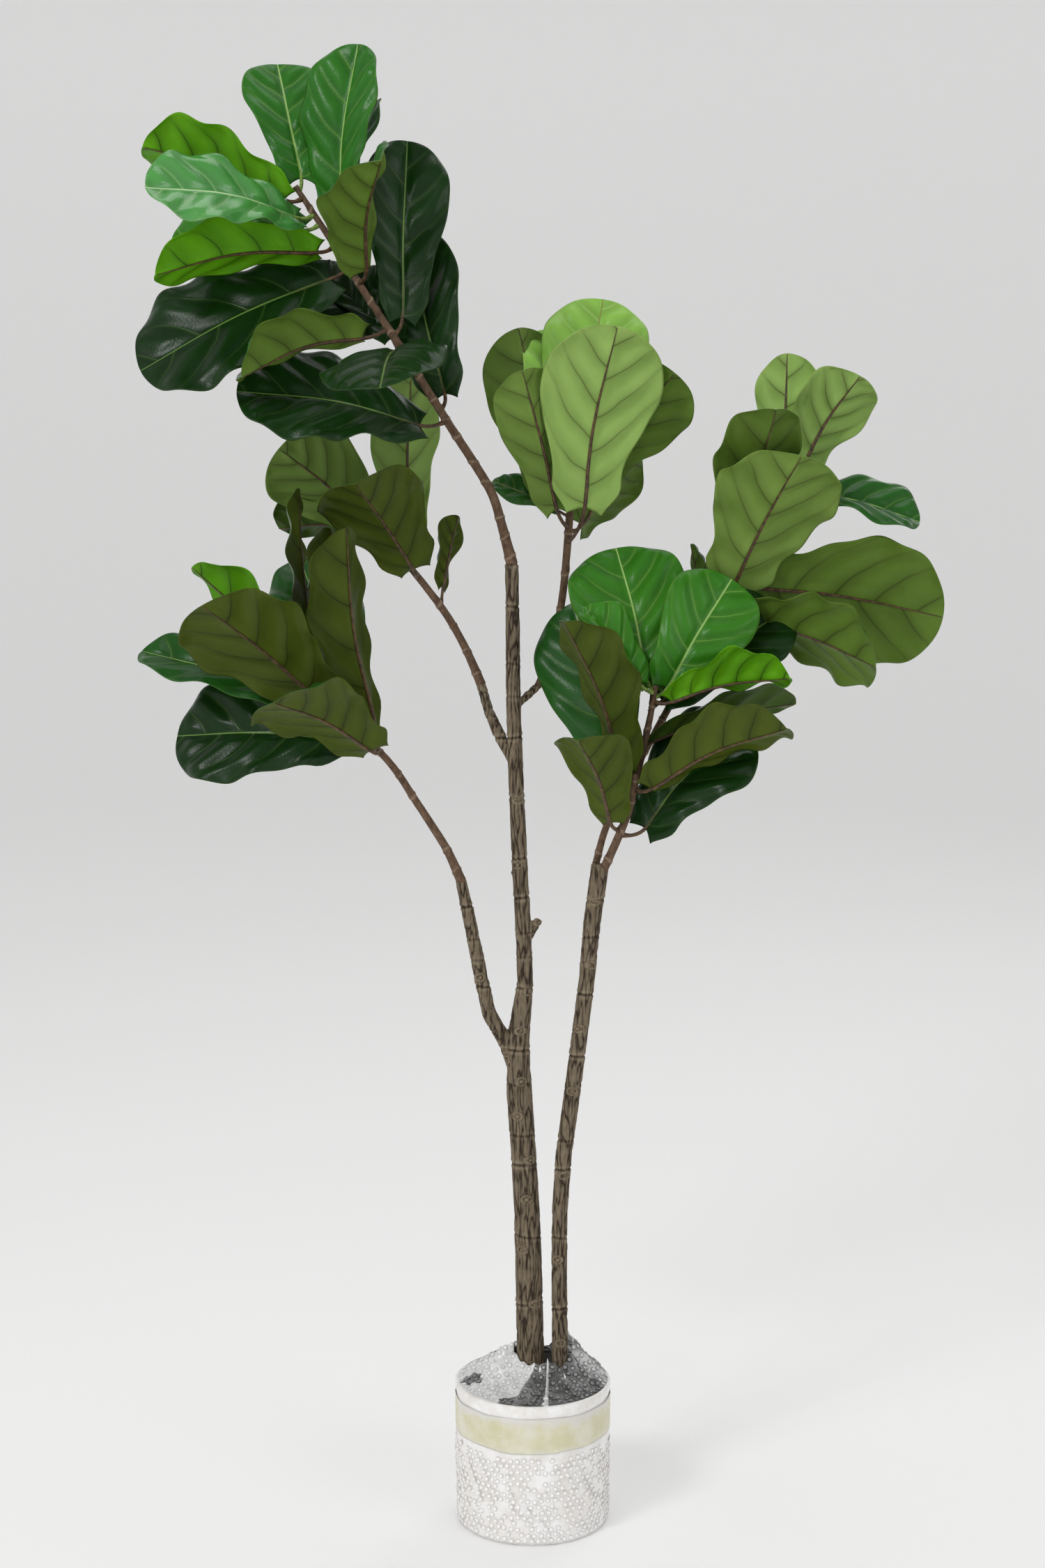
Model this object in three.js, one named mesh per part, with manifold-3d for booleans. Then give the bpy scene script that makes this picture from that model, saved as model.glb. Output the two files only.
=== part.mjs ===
// Potted fiddle leaf fig with moulded bark and leaves, in a white pot still in its bubble wrap.
// Millimetres, +Z up. The origin is the centre of the pot's foot, on the floor. The front is -Y.
import * as THREE from 'three';
import Module from 'manifold-3d';
import { LoftGeometry } from 'three/addons/geometries/LoftGeometry.js';
import { mergeVertices } from 'three/addons/utils/BufferGeometryUtils.js';

const wasm = await Module();
wasm.setup();

// Driving dimensions: the pot and what fills it
const potHeight = 180;
const potRimRadius = 95;
const potFootRadius = 93;
const potWall = 4;
const potFloor = 6;
const plugDepth = 78; // set concrete that holds both trunks and weights the pot
const soilDrop = 14; // from the rim down to the soil
const soilCrown = 6; // how much higher the soil is in the middle

// Driving dimensions: the wrapping
const wrapThickness = 4.5;
const wrapFilm = 1.6;
const wrapLift = 1.5; // the sleeve's hem above the floor
const wrapRise = 12; // from the rim up to the film where it lies flat
const leftFlap = 34; // extra height of the flap beside the main trunk
const rightFlap = 62; // extra height of the flap behind the second trunk
const openingFrom = 184; // the gap between the flaps that shows the soil, in degrees
const openingTo = 214;
const tapeWidth = 45;
const tapeThickness = 0.6;
const tapeDrop = 14; // from the rim down to the tape's upper edge

// Driving dimensions: the plant
const plantHeight = 1800; // floor to the highest leaf tip, as the stems are drawn below
const trunkGirth = 1; // multiplies the radius of both trunks
const branchGirth = 1; // multiplies the radius of the branches
const leafScale = 1; // multiplies the reach and the width of every leaf
const leafThickness = 1.6;
const petioleLength = 18;
const petioleRadius = 2.3;

// Clearances
const fitGap = 0.3; // between pieces that touch
const leafGap = 1.2; // between leaves that lie close
const stemGap = 0.6; // around a trunk where it passes through the soil and the plug

// Resolution
const potSides = 40;
const trunkSides = 12;
const branchSides = 8;
const trunkStep = 75; // length of one ring of facets along a trunk
const branchStep = 42;

const socketRun = 9; // how far a branch runs straight out of its joint
const drawnHeight = 1800;
const drawnRim = 180;
const heightScale = (plantHeight - potHeight) / (drawnHeight - drawnRim);
const innerFoot = potFootRadius - potWall;
const innerRim = potRimRadius - potWall;
const soilTop = potHeight - soilDrop;
const plugTop = potFloor + plugDepth;

const group = new THREE.Group();

function finish(name, geometry, color, roughness) {
  const material = new THREE.MeshStandardMaterial({ color, roughness, metalness: 0 });
  const mesh = new THREE.Mesh(geometry, material);
  mesh.name = name;
  group.add(mesh);
  return mesh;
}

function toSolid(geometry) {
  const bare = new THREE.BufferGeometry();
  bare.setAttribute('position', geometry.attributes.position);
  bare.setIndex(geometry.index);
  const merged = mergeVertices(bare, 1e-3);
  const vertProperties = new Float32Array(merged.attributes.position.array);
  const triVerts = new Uint32Array(merged.index.array);
  return new wasm.Manifold(new wasm.Mesh({ numProp: 3, vertProperties, triVerts }));
}

function toGeometry(solid) {
  const { vertProperties, triVerts } = solid.getMesh();
  const geometry = new THREE.BufferGeometry();
  geometry.setAttribute('position', new THREE.BufferAttribute(vertProperties, 3));
  geometry.setIndex(new THREE.BufferAttribute(triVerts, 1));
  geometry.computeVertexNormals();
  return geometry;
}

function join(geometries) {
  return toGeometry(geometries.map(toSolid).reduce((all, next) => all.add(next)));
}

function cut(geometry, tools) {
  return toGeometry(tools.map(toSolid).reduce((rest, tool) => rest.subtract(tool), toSolid(geometry)));
}

// A solid of revolution about the pot's axis; the profile is [radius, height] pairs, closed
function turned(profile) {
  const points = profile.map(([r, z]) => new THREE.Vector2(r, z));
  const geometry = new THREE.LatheGeometry(points, potSides);
  return geometry.rotateX(Math.PI / 2);
}

// ---------------------------------------------------------------- stems

// A place as drawn: above the rim it follows the plant's height, and inside the pot the pot's
function drawn([x, y, z]) {
  const height = z > drawnRim
    ? potHeight + (z - drawnRim) * heightScale
    : (potHeight * z) / drawnRim;
  return new THREE.Vector3(x, y, height);
}

function curveThrough(places) {
  return new THREE.CatmullRomCurve3(places, false, 'centripetal');
}

// A trunk or stub is a list of [x, y, z, radius]
function stem(points) {
  return { curve: curveThrough(points.map(drawn)), radii: points.map((p) => p[3] * trunkGirth) };
}

// A branch stands on the cut end of a stub and leaves it straight, set aside from its middle
function plugged(stub, startRadius, points, aside = [0, 0, 0]) {
  const axis = stub.curve.getTangentAt(1);
  const start = stub.curve.getPointAt(1).addScaledVector(axis, fitGap);
  const offset = new THREE.Vector3(...aside);
  start.add(offset.addScaledVector(axis, -offset.dot(axis)));
  const straight = start.clone().addScaledVector(axis, socketRun);
  return {
    curve: curveThrough([start, straight, ...points.map(drawn)]),
    radii: [startRadius, startRadius * 0.9, ...points.map((p) => p[3])].map((r) => r * branchGirth),
  };
}

function radiusAt(branch, share) {
  const t = branch.curve.getUtoTmapping(share) * (branch.radii.length - 1);
  const i = Math.min(Math.floor(t), branch.radii.length - 2);
  return THREE.MathUtils.lerp(branch.radii[i], branch.radii[i + 1], t - i);
}

function stemGeometry(branch, sides, step, extra = 0) {
  const count = Math.max(3, Math.round(branch.curve.getLength() / step));
  const frames = branch.curve.computeFrenetFrames(count, false);
  const sections = [];
  for (let i = 0; i <= count; i++) {
    const centre = branch.curve.getPointAt(i / count);
    const radius = radiusAt(branch, i / count) + extra;
    const ring = [];
    for (let j = 0; j < sides; j++) {
      const angle = (j / sides) * Math.PI * 2;
      ring.push(centre.clone()
        .addScaledVector(frames.normals[i], radius * Math.cos(angle))
        .addScaledVector(frames.binormals[i], radius * Math.sin(angle)));
    }
    sections.push(ring);
  }
  return new LoftGeometry(sections, { capStart: true, capEnd: true });
}

const trunkFoot = 30; // how deep the trunks reach, above the pot's base, at the drawn height
const mainFoot = 18.5; // radius of each trunk at its foot
const secondFoot = 11;
const trunkSpread = (trunkGirth - 1) * (mainFoot + secondFoot); // stouter trunks stand apart

const mainTrunk = stem([
  [2, 0, trunkFoot, mainFoot], [-3, 0, 217, 17.8], [-7, 3, 388, 16.6], [-13, 6, 497, 16],
  [-19, 6, 580, 16.5], [-20, 4, 610, 15.5], [-11, 0, 659, 11.2], [-10, -4, 712, 10],
  [-16, -6, 836, 10], [-20, -4, 930, 9.8], [-24, 0, 1040, 9.3], [-25, -4, 1155, 8.8],
  [-26, -8, 1212, 8.4],
]);

const leftLimb = stem([
  [-20, 5, 575, 9], [-37, -2, 628, 10], [-55, -8, 659, 9.6], [-65, -14, 712, 8.9],
  [-75, -20, 764, 8.8], [-85, -26, 815, 7.4], [-88, -28, 829, 7],
]);

const upperLeftStub = stem([
  [-24, 0, 970, 7], [-41, 12, 1000, 7.8], [-56, 22, 1033, 6.6], [-64, 28, 1062, 6.2],
]);

const middleStub = stem([
  [-24, -2, 1036, 5], [-8, 10, 1048, 5.4], [6, 20, 1060, 5.2],
]);

const rightSpur = stem([
  [-12, -4, 746, 8], [-2, -8, 762, 7], [7, -12, 776, 5.2],
]);

const leftSpur = stem([
  [-15, -6, 826, 7], [-25, -9, 836, 4.4],
]);

const secondTrunk = stem([
  [34, -12, trunkFoot, secondFoot], [34, -12, 216, 10.5], [33, -14, 388, 10],
  [36, -18, 461, 10.6], [45, -22, 533, 10.3], [53, -26, 605, 10.6], [63, -30, 676, 10.1],
  [68, -33, 747, 10.5], [73, -36, 790, 11.2], [81, -38, 850, 11],
].map(([x, y, z, radius]) => [x + trunkSpread, y, z, radius]));

const trunkParts = [mainTrunk, leftLimb, upperLeftStub, middleStub, rightSpur, leftSpur];

const crownBranch = plugged(mainTrunk, 7, [
  [-33, -10, 1240, 5.8], [-47, -13, 1289, 5.4], [-70, -16, 1330, 5.2], [-94, -19, 1367, 5],
  [-158, -23, 1469, 4.6], [-200, -26, 1533, 4.2], [-241, -28, 1597, 3.8], [-277, -30, 1651, 3],
]);

const upperLeftBranch = plugged(upperLeftStub, 5.8, [
  [-84, 38, 1106, 4.8], [-119, 46, 1164, 4.5], [-144, 52, 1192, 4.2], [-188, 60, 1251, 3],
]);

const lowerLeftBranch = plugged(leftLimb, 6.2, [
  [-109, -34, 875, 5], [-133, -40, 915, 4.6], [-152, -44, 945, 4.5], [-180, -48, 986, 4.2],
  [-255, -56, 1045, 3],
]);

const middleBranch = plugged(middleStub, 4.6, [
  [25, 34, 1110, 4.6], [36, 38, 1170, 4.6], [43, 40, 1249, 4.8], [48, 42, 1306, 4],
  [54, 44, 1328, 3],
]);

// Two branches share the second trunk's cut top
const frontBranch = plugged(secondTrunk, 5.4, [
  [99, -50, 879, 5], [111, -56, 908, 4.8], [119, -60, 944, 4.6], [134, -64, 1010, 4.2],
  [145, -66, 1070, 3],
], [6, -6, 0]);

const rightBranch = plugged(secondTrunk, 4.4, [
  [84, -22, 880, 4.2], [97, -6, 910, 4.2], [150, 26, 1003, 4.4], [242, 40, 1175, 4.2],
  [319, 30, 1334, 3],
], [-5, 6, 0]);

// ---------------------------------------------------------------- leaves

// Rings along the blade from its base to its tip: [share of its length, share of the width]
const bladeRings = [[0.02, 0.36], [0.1, 0.52], [0.26, 0.6], [0.44, 0.82], [0.62, 1],
  [0.8, 0.94], [0.92, 0.68], [0.98, 0.34]];
// One ring, from the right margin over the top side to the left margin and back underneath
const ringPlaces = [[1, 0], [0.5, 1], [0, 1], [-0.5, 1], [-1, 0],
  [-0.5, -1], [-0.07, -1], [0, -2], [0.07, -1], [0.5, -1]];

// The line of the petiole and midrib: out of the stem, then in an arc to the tip
function midrib({ root, leave, tip, up, arch, petiole }) {
  const reach = tip.clone().sub(root);
  const sag = (reach.length() / 2) * Math.tan(THREE.MathUtils.degToRad(arch) / 4);
  return new THREE.CatmullRomCurve3([
    root,
    root.clone().addScaledVector(leave, petiole * 0.6),
    root.clone().addScaledVector(reach, 0.5).addScaledVector(up, sag),
    tip,
  ], false, 'centripetal');
}

function bladeRing(centre, right, up, halfWidth, thickness, rib, fold) {
  const lift = Math.sin(THREE.MathUtils.degToRad(fold));
  const spread = Math.cos(THREE.MathUtils.degToRad(fold));
  return ringPlaces.map(([across, side]) => {
    const out = Math.abs(across) * halfWidth;
    const rise = out * lift * (1.25 - 0.4 * Math.abs(across));
    const depth = side === -2 ? -thickness / 2 - rib : (side * thickness) / 2;
    return centre.clone()
      .addScaledVector(right, across * halfWidth * spread)
      .addScaledVector(up, rise + depth);
  });
}

function petioleRing(centre, right, up, radius) {
  const angles = [0, 45, 90, 135, 180, 225, 252, 270, 288, 315];
  return angles.map((angle) => centre.clone()
    .addScaledVector(right, radius * Math.cos(THREE.MathUtils.degToRad(angle)))
    .addScaledVector(up, radius * Math.sin(THREE.MathUtils.degToRad(angle))));
}

// A whole leaf, or only its blade, with extra thickness all round when it is a test shape
function leafGeometry(leaf, bladeOnly = false, extra = 0) {
  const curve = midrib(leaf);
  const total = curve.getLength();
  const place = (distance) => {
    const share = Math.min(distance / total, 1);
    const centre = curve.getPointAt(share);
    const along = curve.getTangentAt(share);
    const up = leaf.up.clone().addScaledVector(along, -leaf.up.dot(along)).normalize();
    return { centre, up, right: up.clone().cross(along) };
  };
  const point = (distance) => ringPlaces.map(() => place(distance).centre);
  const sections = [];
  if (bladeOnly) {
    sections.push(point(leaf.petiole));
  } else {
    const start = place(petioleRadius * 1.5);
    const neck = place(leaf.petiole);
    sections.push(point(0));
    sections.push(petioleRing(start.centre, start.right, start.up, petioleRadius * 1.1));
    sections.push(petioleRing(neck.centre, neck.right, neck.up, petioleRadius * 0.9));
  }
  const blade = total - leaf.petiole;
  for (const [share, width] of bladeRings) {
    const { centre, right, up } = place(leaf.petiole + blade * share);
    const rib = petioleRadius * (1 - 0.8 * share);
    sections.push(bladeRing(centre, right, up, (leaf.width / 2) * width + extra,
      leafThickness + 2 * extra, rib, leaf.fold));
  }
  sections.push(point(total));
  return new LoftGeometry(sections);
}

// Where a leaf starts on its branch and where it points, with its top side facing `face`
function placeLeaf(branch, [share, reach, face, width, fold, arch, stretch = 1]) {
  const centre = branch.curve.getPointAt(share);
  const along = branch.curve.getTangentAt(share);
  const aim = new THREE.Vector3(...reach).multiplyScalar(leafScale);
  const away = aim.clone().addScaledVector(along, -aim.dot(along)).normalize();
  const surface = radiusAt(branch, share) + fitGap;
  const root = centre.clone().addScaledVector(away, surface + petioleRadius * 0.5);
  const leave = away.multiplyScalar(1.2).add(aim.clone().normalize()).normalize();
  return {
    root,
    leave,
    tip: centre.clone().add(aim),
    up: squareTo(new THREE.Vector3(...face), aim),
    width: width * leafScale,
    fold,
    arch,
    petiole: petioleLength * stretch,
  };
}

function squareTo(direction, axis) {
  const unit = axis.clone().normalize();
  return direction.clone().addScaledVector(unit, -direction.dot(unit)).normalize();
}

// The same leaf swung about its root: to the front or back by sway, and up or down the front
// view by lift, in degrees
function swing(leaf, sway, lift) {
  const aim = leaf.tip.clone().sub(leaf.root);
  const level = aim.clone().cross(frontToBack).normalize();
  const spin = new THREE.Quaternion().setFromAxisAngle(level, THREE.MathUtils.degToRad(sway));
  const tilt = THREE.MathUtils.degToRad(lift);
  spin.multiply(new THREE.Quaternion().setFromAxisAngle(frontToBack, tilt));
  return {
    ...leaf,
    tip: leaf.root.clone().add(aim.applyQuaternion(spin)),
    up: leaf.up.clone().applyQuaternion(spin),
  };
}

const frontToBack = new THREE.Vector3(0, 1, 0);
const swingStep = 3;
const swingMost = 66;
const liftShare = 0.4; // a leaf lifts or drops less than it sways
const swingDirections = [[1, 0], [-1, 0], [0, 1], [0, -1], [0.7, 0.7], [0.7, -0.7], [-0.7, 0.7],
  [-0.7, -0.7]];

function* swings(leaf) {
  yield leaf;
  for (let angle = swingStep; angle <= swingMost; angle += swingStep) {
    for (const [sway, lift] of swingDirections) {
      yield swing(leaf, sway * angle, lift * angle * liftShare);
    }
  }
}

function touches(a, b) {
  const boxA = a.boundingBox();
  const boxB = b.boundingBox();
  const apart = boxA.min.some((low, i) => low > boxB.max[i] || boxB.min[i] > boxA.max[i]);
  return !apart && a.intersect(b).volume() > 0;
}

// Leaves settle in the order they are listed: each swings by the least angle that clears the
// stems and the leaves before it
const stemSolids = [];
const leafSolids = [];

function settle(leaf) {
  for (const tried of swings(leaf)) {
    const geometry = leafGeometry(tried);
    const whole = toSolid(geometry);
    const guard = toSolid(leafGeometry(tried, true, leafGap));
    const clear = !stemSolids.some((other) => touches(whole, other))
      && !leafSolids.some((other) => touches(whole, other.whole) || touches(guard, other.guard));
    if (clear) {
      leafSolids.push({ whole, guard });
      return geometry;
    }
  }
  throw new Error('a leaf found no free place');
}

// Each leaf: [share along the branch, reach to the tip, way the top side faces, width, fold of
// the two halves in degrees, arch of the midrib in degrees, and how much longer the petiole is]
const crownLeaves = [
  [0.97, [-180, -40, 56], [0.1, 0.75, 0.6], 105, 26, 20],
  [0.925, [-200, -80, 28], [0.1, -0.75, 0.65], 104, 16, 25],
  [0.9, [-180, 45, -20], [0, -0.6, 0.8], 112, 18, 20],
  [0.84, [-198, -95, -34], [0.1, 0.7, 0.6], 104, 26, 30],
  [0.99, [-30, 95, 150], [0.25, -0.9, 0.2], 104, 15, 20],
  [0.86, [34, 20, 222], [-0.6, -0.8, 0.1], 118, 24, 15],
  [0.6, [16, 60, 226], [0.2, -1, 0.1], 112, 22, 15],
  [0.74, [36, -115, 146], [-0.77, 0.64, 0.15], 138, 38, 20],
  [0.4, [-33, 75, 204], [-0.35, -0.9, 0.1], 118, 18, 15],
  [0.78, [-238, -60, -116], [-0.1, -0.75, 0.65], 168, 8, 20],
  [0.62, [-174, -90, -50], [-0.2, 0.6, 0.75], 118, 36, 30, 1.6],
  [0.37, [-240, -60, 34], [0, -0.7, 0.75], 150, 10, 15, 1.5],
  [0.57, [-14, -185, -44], [-0.22, -0.2, 1], 150, 8, 25],
];

const upperLeftLeaves = [
  [0.96, [-124, -20, 102], [0.2, 0.95, 0.25], 130, 12, 20],
  [0.66, [-67, -125, 121], [-0.1, 0.85, 0.5], 140, 22, 20],
  [0.78, [12, -30, 222], [-0.3, 0.95, 0], 100, 30, 15],
  [0.98, [-140, 50, -5], [0, 0.6, 0.8], 110, 16, 25],
];

const lowerLeftLeaves = [
  [0.95, [-135, -110, 140], [0.25, 0.95, 0.3], 156, 8, 20],
  [0.74, [-22, -45, 258], [-0.7, 0.7, 0], 118, 38, 15],
  [0.68, [-113, -130, 76], [0.25, 0.9, 0.4], 138, 14, 20],
  [0.8, [-224, 75, -15], [-0.2, -0.85, 0.5], 138, 12, 20],
  [0.99, [-228, 50, 60], [0, -0.5, 0.85], 100, 18, 15],
  [0.99, [-150, 0, 168], [0.3, 0.6, 0.7], 104, 22, 20],
  [0.93, [-12, 30, 252], [-1, 0.15, 0], 84, 30, 15],
  [0.82, [-102, 150, 238], [0.2, -0.95, 0.2], 116, 14, 20],
];

const middleLeaves = [
  [0.66, [56, -85, 256], [-0.1, 1, 0.25], 146, 6, 18, 3.4],
  [0.95, [35, 60, 208], [0, -1, 0.3], 132, 10, 20],
  [0.8, [-64, -10, 218], [-0.4, 0.9, 0.1], 122, 26, 15],
  [0.72, [-50, -120, 165], [-0.3, 0.85, 0.4], 100, 28, 20, 2],
  [0.88, [116, -70, 134], [0.2, 0.8, 0.5], 124, 16, 20],
  [0.7, [92, 85, 84], [0.2, 0.8, 0.55], 116, 18, 20],
];

const frontLeaves = [
  [0.98, [-44, 100, 160], [0.05, -0.95, 0.4], 146, 8, 20],
  [0.95, [94, 50, 134], [0.3, -0.85, 0.5], 120, 12, 20],
  [0.97, [-84, 5, 100], [0.5, -0.5, 0.6], 78, 32, 15],
  [0.43, [-78, 75, 222], [-0.35, -0.9, 0.2], 136, 12, 15],
  [0.5, [-86, -60, 196], [0.6, 0.7, 0.2], 120, 34, 15],
  [0.92, [156, -60, 36], [-0.1, 0.6, 0.75], 108, 30, 20],
  [0.45, [172, -100, 88], [-0.2, 0.7, 0.65], 128, 30, 20],
  [0.2, [150, -25, 124], [0.2, -0.6, 0.75], 140, 12, 20, 1.5],
  [0.22, [-54, -100, 124], [0.3, 0.85, 0.3], 108, 32, 20],
];

const rightLeaves = [
  [0.67, [73, -110, 172], [-0.1, 0.9, 0.4], 156, 8, 18],
  [0.7, [38, -70, 236], [-0.3, 0.9, 0.1], 114, 26, 15],
  [0.97, [74, -45, 114], [-0.1, 0.9, 0.4], 100, 14, 20],
  [0.92, [10, 60, 164], [0.3, 0.95, 0.1], 86, 22, 15],
  [0.93, [164, -5, -42], [-0.1, -0.45, 0.9], 104, 20, 20],
  [0.7, [248, -30, -40], [0, 0.95, 0.3], 166, 6, 25],
  [0.62, [177, -115, -50], [0, 0.8, 0.6], 138, 14, 25],
];

// ---------------------------------------------------------------- pot and wrapping

function pot() {
  return turned([[0, 0], [potFootRadius, 0], [potRimRadius, potHeight], [innerRim, potHeight],
    [innerFoot, potFloor], [0, potFloor]]);
}

// The pot's inner radius at a height, less the gap that a piece inside it keeps
function insideAt(z) {
  const share = (z - potFloor) / (potHeight - potFloor);
  return THREE.MathUtils.lerp(innerFoot, innerRim, share) - fitGap;
}

function outsideAt(z) {
  return THREE.MathUtils.lerp(potFootRadius, potRimRadius, z / potHeight);
}

function plug() {
  const low = potFloor + fitGap;
  const body = turned([[0, low], [insideAt(low), low], [insideAt(plugTop), plugTop], [0, plugTop]]);
  return cut(body, trunkBores());
}

function soil() {
  const low = plugTop + fitGap;
  const body = turned([[0, low], [insideAt(low), low], [insideAt(soilTop), soilTop],
    [innerRim * 0.5, soilTop + soilCrown * 0.8], [0, soilTop + soilCrown]]);
  return cut(body, trunkBores());
}

function trunkBores() {
  return [mainTrunk, secondTrunk].map((trunk) =>
    stemGeometry(trunk, trunkSides, trunkStep, stemGap));
}

// How far the gathered film rises at an angle, in degrees, round the pot
function flapRise(angle) {
  const bump = (centre, spread) => {
    const off = Math.abs(((angle - centre + 540) % 360) - 180) / spread;
    return off < 1 ? Math.cos((off * Math.PI) / 2) ** 2 : 0;
  };
  return leftFlap * bump(160, 80) + rightFlap * bump(35, 95);
}

const flapStep = 15;
const trunkClear = 5; // between the trunks and the film that gathers round them

// The film over the pot's mouth: a strip from the sleeve in to the trunks, all but the opening
function topFilm() {
  const first = mainTrunk.curve.getPointAt(0.16);
  const second = secondTrunk.curve.getPointAt(0.2);
  const middle = first.clone().lerp(second, 0.5);
  const reach = first.distanceTo(second) / 2 + radiusAt(mainTrunk, 0.16) + trunkClear;
  const sections = [];
  for (let angle = openingTo; angle <= openingFrom + 360; angle += flapStep) {
    const turn = THREE.MathUtils.degToRad(angle);
    const outerPoint = [
      (potRimRadius + wrapThickness) * Math.cos(turn),
      (potRimRadius + wrapThickness) * Math.sin(turn),
      potHeight + wrapFilm,
    ];
    const innerPoint = [
      middle.x + reach * Math.cos(turn),
      middle.y + reach * 0.72 * Math.sin(turn),
      potHeight + wrapRise + flapRise(angle),
    ];
    const at = (share, bulge) => new THREE.Vector3(
      THREE.MathUtils.lerp(outerPoint[0], innerPoint[0], share),
      THREE.MathUtils.lerp(outerPoint[1], innerPoint[1], share),
      THREE.MathUtils.lerp(outerPoint[2], innerPoint[2], share) - bulge,
    );
    const dip = 0.12 * flapRise(angle);
    sections.push([at(0, wrapFilm), at(0.55, dip + wrapFilm), at(1, wrapFilm),
      at(1, 0), at(0.55, dip), at(0, 0)]);
  }
  return new LoftGeometry(sections, { capStart: true, capEnd: true });
}

function bubbleWrap() {
  const inner = (z) => outsideAt(z) + fitGap;
  const top = potHeight + wrapFilm;
  const rim = potHeight + fitGap;
  const sleeve = turned([
    [inner(wrapLift), wrapLift],
    [inner(wrapLift) + wrapThickness, wrapLift],
    [inner(potHeight) + wrapThickness, top],
    [potRimRadius - 1, top],
    [potRimRadius - 1, rim],
    [inner(potHeight), rim],
    [inner(wrapLift), wrapLift],
  ]);
  return join([sleeve, topFilm()]);
}

function tapeBand() {
  const high = potHeight - tapeDrop;
  const low = high - tapeWidth;
  const inner = (z) => outsideAt(z) + 2 * fitGap + wrapThickness;
  return turned([
    [inner(low), low],
    [inner(low) + tapeThickness, low],
    [inner(high) + tapeThickness, high],
    [inner(high), high],
    [inner(low), low],
  ]);
}

// ---------------------------------------------------------------- assembly

finish('pot', pot(), 0xf0efec, 0.4);
finish('concrete_plug', plug(), 0x8d8a84, 0.95);
finish('soil', soil(), 0x2a241d, 1);
finish('bubble_wrap', bubbleWrap(), 0xe9e4e4, 0.3);
finish('tape_band', tapeBand(), 0xd9cf9c, 0.35);

const trunkShape = join(trunkParts.map((part) => {
  const thick = part === mainTrunk;
  return stemGeometry(part, thick ? trunkSides : branchSides, thick ? trunkStep : branchStep);
}));
const secondShape = stemGeometry(secondTrunk, trunkSides, trunkStep);
finish('main_trunk', trunkShape, 0x6b5c48, 0.85);
finish('second_trunk', secondShape, 0x66574a, 0.85);
stemSolids.push(toSolid(trunkShape), toSolid(secondShape));

const limbs = [
  ['crown', crownBranch, crownLeaves],
  ['upper_left', upperLeftBranch, upperLeftLeaves],
  ['lower_left', lowerLeftBranch, lowerLeftLeaves],
  ['middle', middleBranch, middleLeaves],
  ['front', frontBranch, frontLeaves],
  ['right', rightBranch, rightLeaves],
];

for (const [name, branch] of limbs) {
  const shape = stemGeometry(branch, branchSides, branchStep);
  finish(`${name}_branch`, shape, 0x6e5548, 0.75);
  stemSolids.push(toSolid(shape));
}

for (const [name, branch, leaves] of limbs) {
  leaves.forEach((row, i) => {
    const shape = settle(placeLeaf(branch, row));
    finish(`${name}_leaf_${i + 1}`, shape, 0x2f6a2b, 0.45);
  });
}

export default group;
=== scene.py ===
import math
import random

import bmesh
import bpy
import numpy as np
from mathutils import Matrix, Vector, noise


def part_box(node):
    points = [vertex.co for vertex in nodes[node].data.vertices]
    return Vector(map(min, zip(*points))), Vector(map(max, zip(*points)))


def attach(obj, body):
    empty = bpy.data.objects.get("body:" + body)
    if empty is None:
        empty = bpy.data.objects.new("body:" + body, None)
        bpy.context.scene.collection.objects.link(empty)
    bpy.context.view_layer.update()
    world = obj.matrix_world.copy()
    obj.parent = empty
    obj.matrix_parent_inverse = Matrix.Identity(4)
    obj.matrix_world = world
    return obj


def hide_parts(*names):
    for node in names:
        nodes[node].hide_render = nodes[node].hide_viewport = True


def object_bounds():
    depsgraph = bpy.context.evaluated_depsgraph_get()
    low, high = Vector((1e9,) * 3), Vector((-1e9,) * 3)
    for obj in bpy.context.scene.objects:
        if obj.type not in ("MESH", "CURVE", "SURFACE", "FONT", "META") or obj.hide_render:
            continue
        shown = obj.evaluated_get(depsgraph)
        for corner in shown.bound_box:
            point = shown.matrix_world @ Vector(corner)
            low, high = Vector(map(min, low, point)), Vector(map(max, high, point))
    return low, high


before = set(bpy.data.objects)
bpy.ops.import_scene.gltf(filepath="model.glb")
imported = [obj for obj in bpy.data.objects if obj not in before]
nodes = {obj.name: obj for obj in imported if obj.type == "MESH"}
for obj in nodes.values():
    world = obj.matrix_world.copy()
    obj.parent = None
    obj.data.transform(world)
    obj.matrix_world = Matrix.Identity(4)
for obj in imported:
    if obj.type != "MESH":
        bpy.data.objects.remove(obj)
cadLow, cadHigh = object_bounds()
scene = bpy.context.scene
mm = 0.001


# hex colours are sRGB, sockets want linear
def hexColor(text, alpha=1.0):
    channels = [int(text[i:i + 2], 16) / 255 for i in (1, 3, 5)]
    linear = [c / 12.92 if c <= 0.04045 else ((c + 0.055) / 1.055) ** 2.4 for c in channels]
    return (*linear, alpha)


# adds one node, with its settings and its inputs, which are values or sockets to link
def addNode(tree, kind, settings=None, inputs=None):
    node = tree.nodes.new(kind)
    for key, value in (settings or {}).items():
        setattr(node, key, value)
    for key, value in (inputs or {}).items():
        if isinstance(value, bpy.types.NodeSocket):
            tree.links.new(value, node.inputs[key])
        else:
            node.inputs[key].default_value = value
    return node


def newMaterial(name, shaderInputs):
    material = bpy.data.materials.new(name)
    material.use_nodes = True
    tree = material.node_tree
    tree.nodes.clear()
    shader = addNode(tree, "ShaderNodeBsdfPrincipled", {}, shaderInputs)
    addNode(tree, "ShaderNodeOutputMaterial", {}, {"Surface": shader.outputs[0]})
    return material, tree, shader


def smooth(value, low, high):
    x = np.clip((value - low) / (high - low), 0, 1)
    return x * x * (3 - 2 * x)


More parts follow.
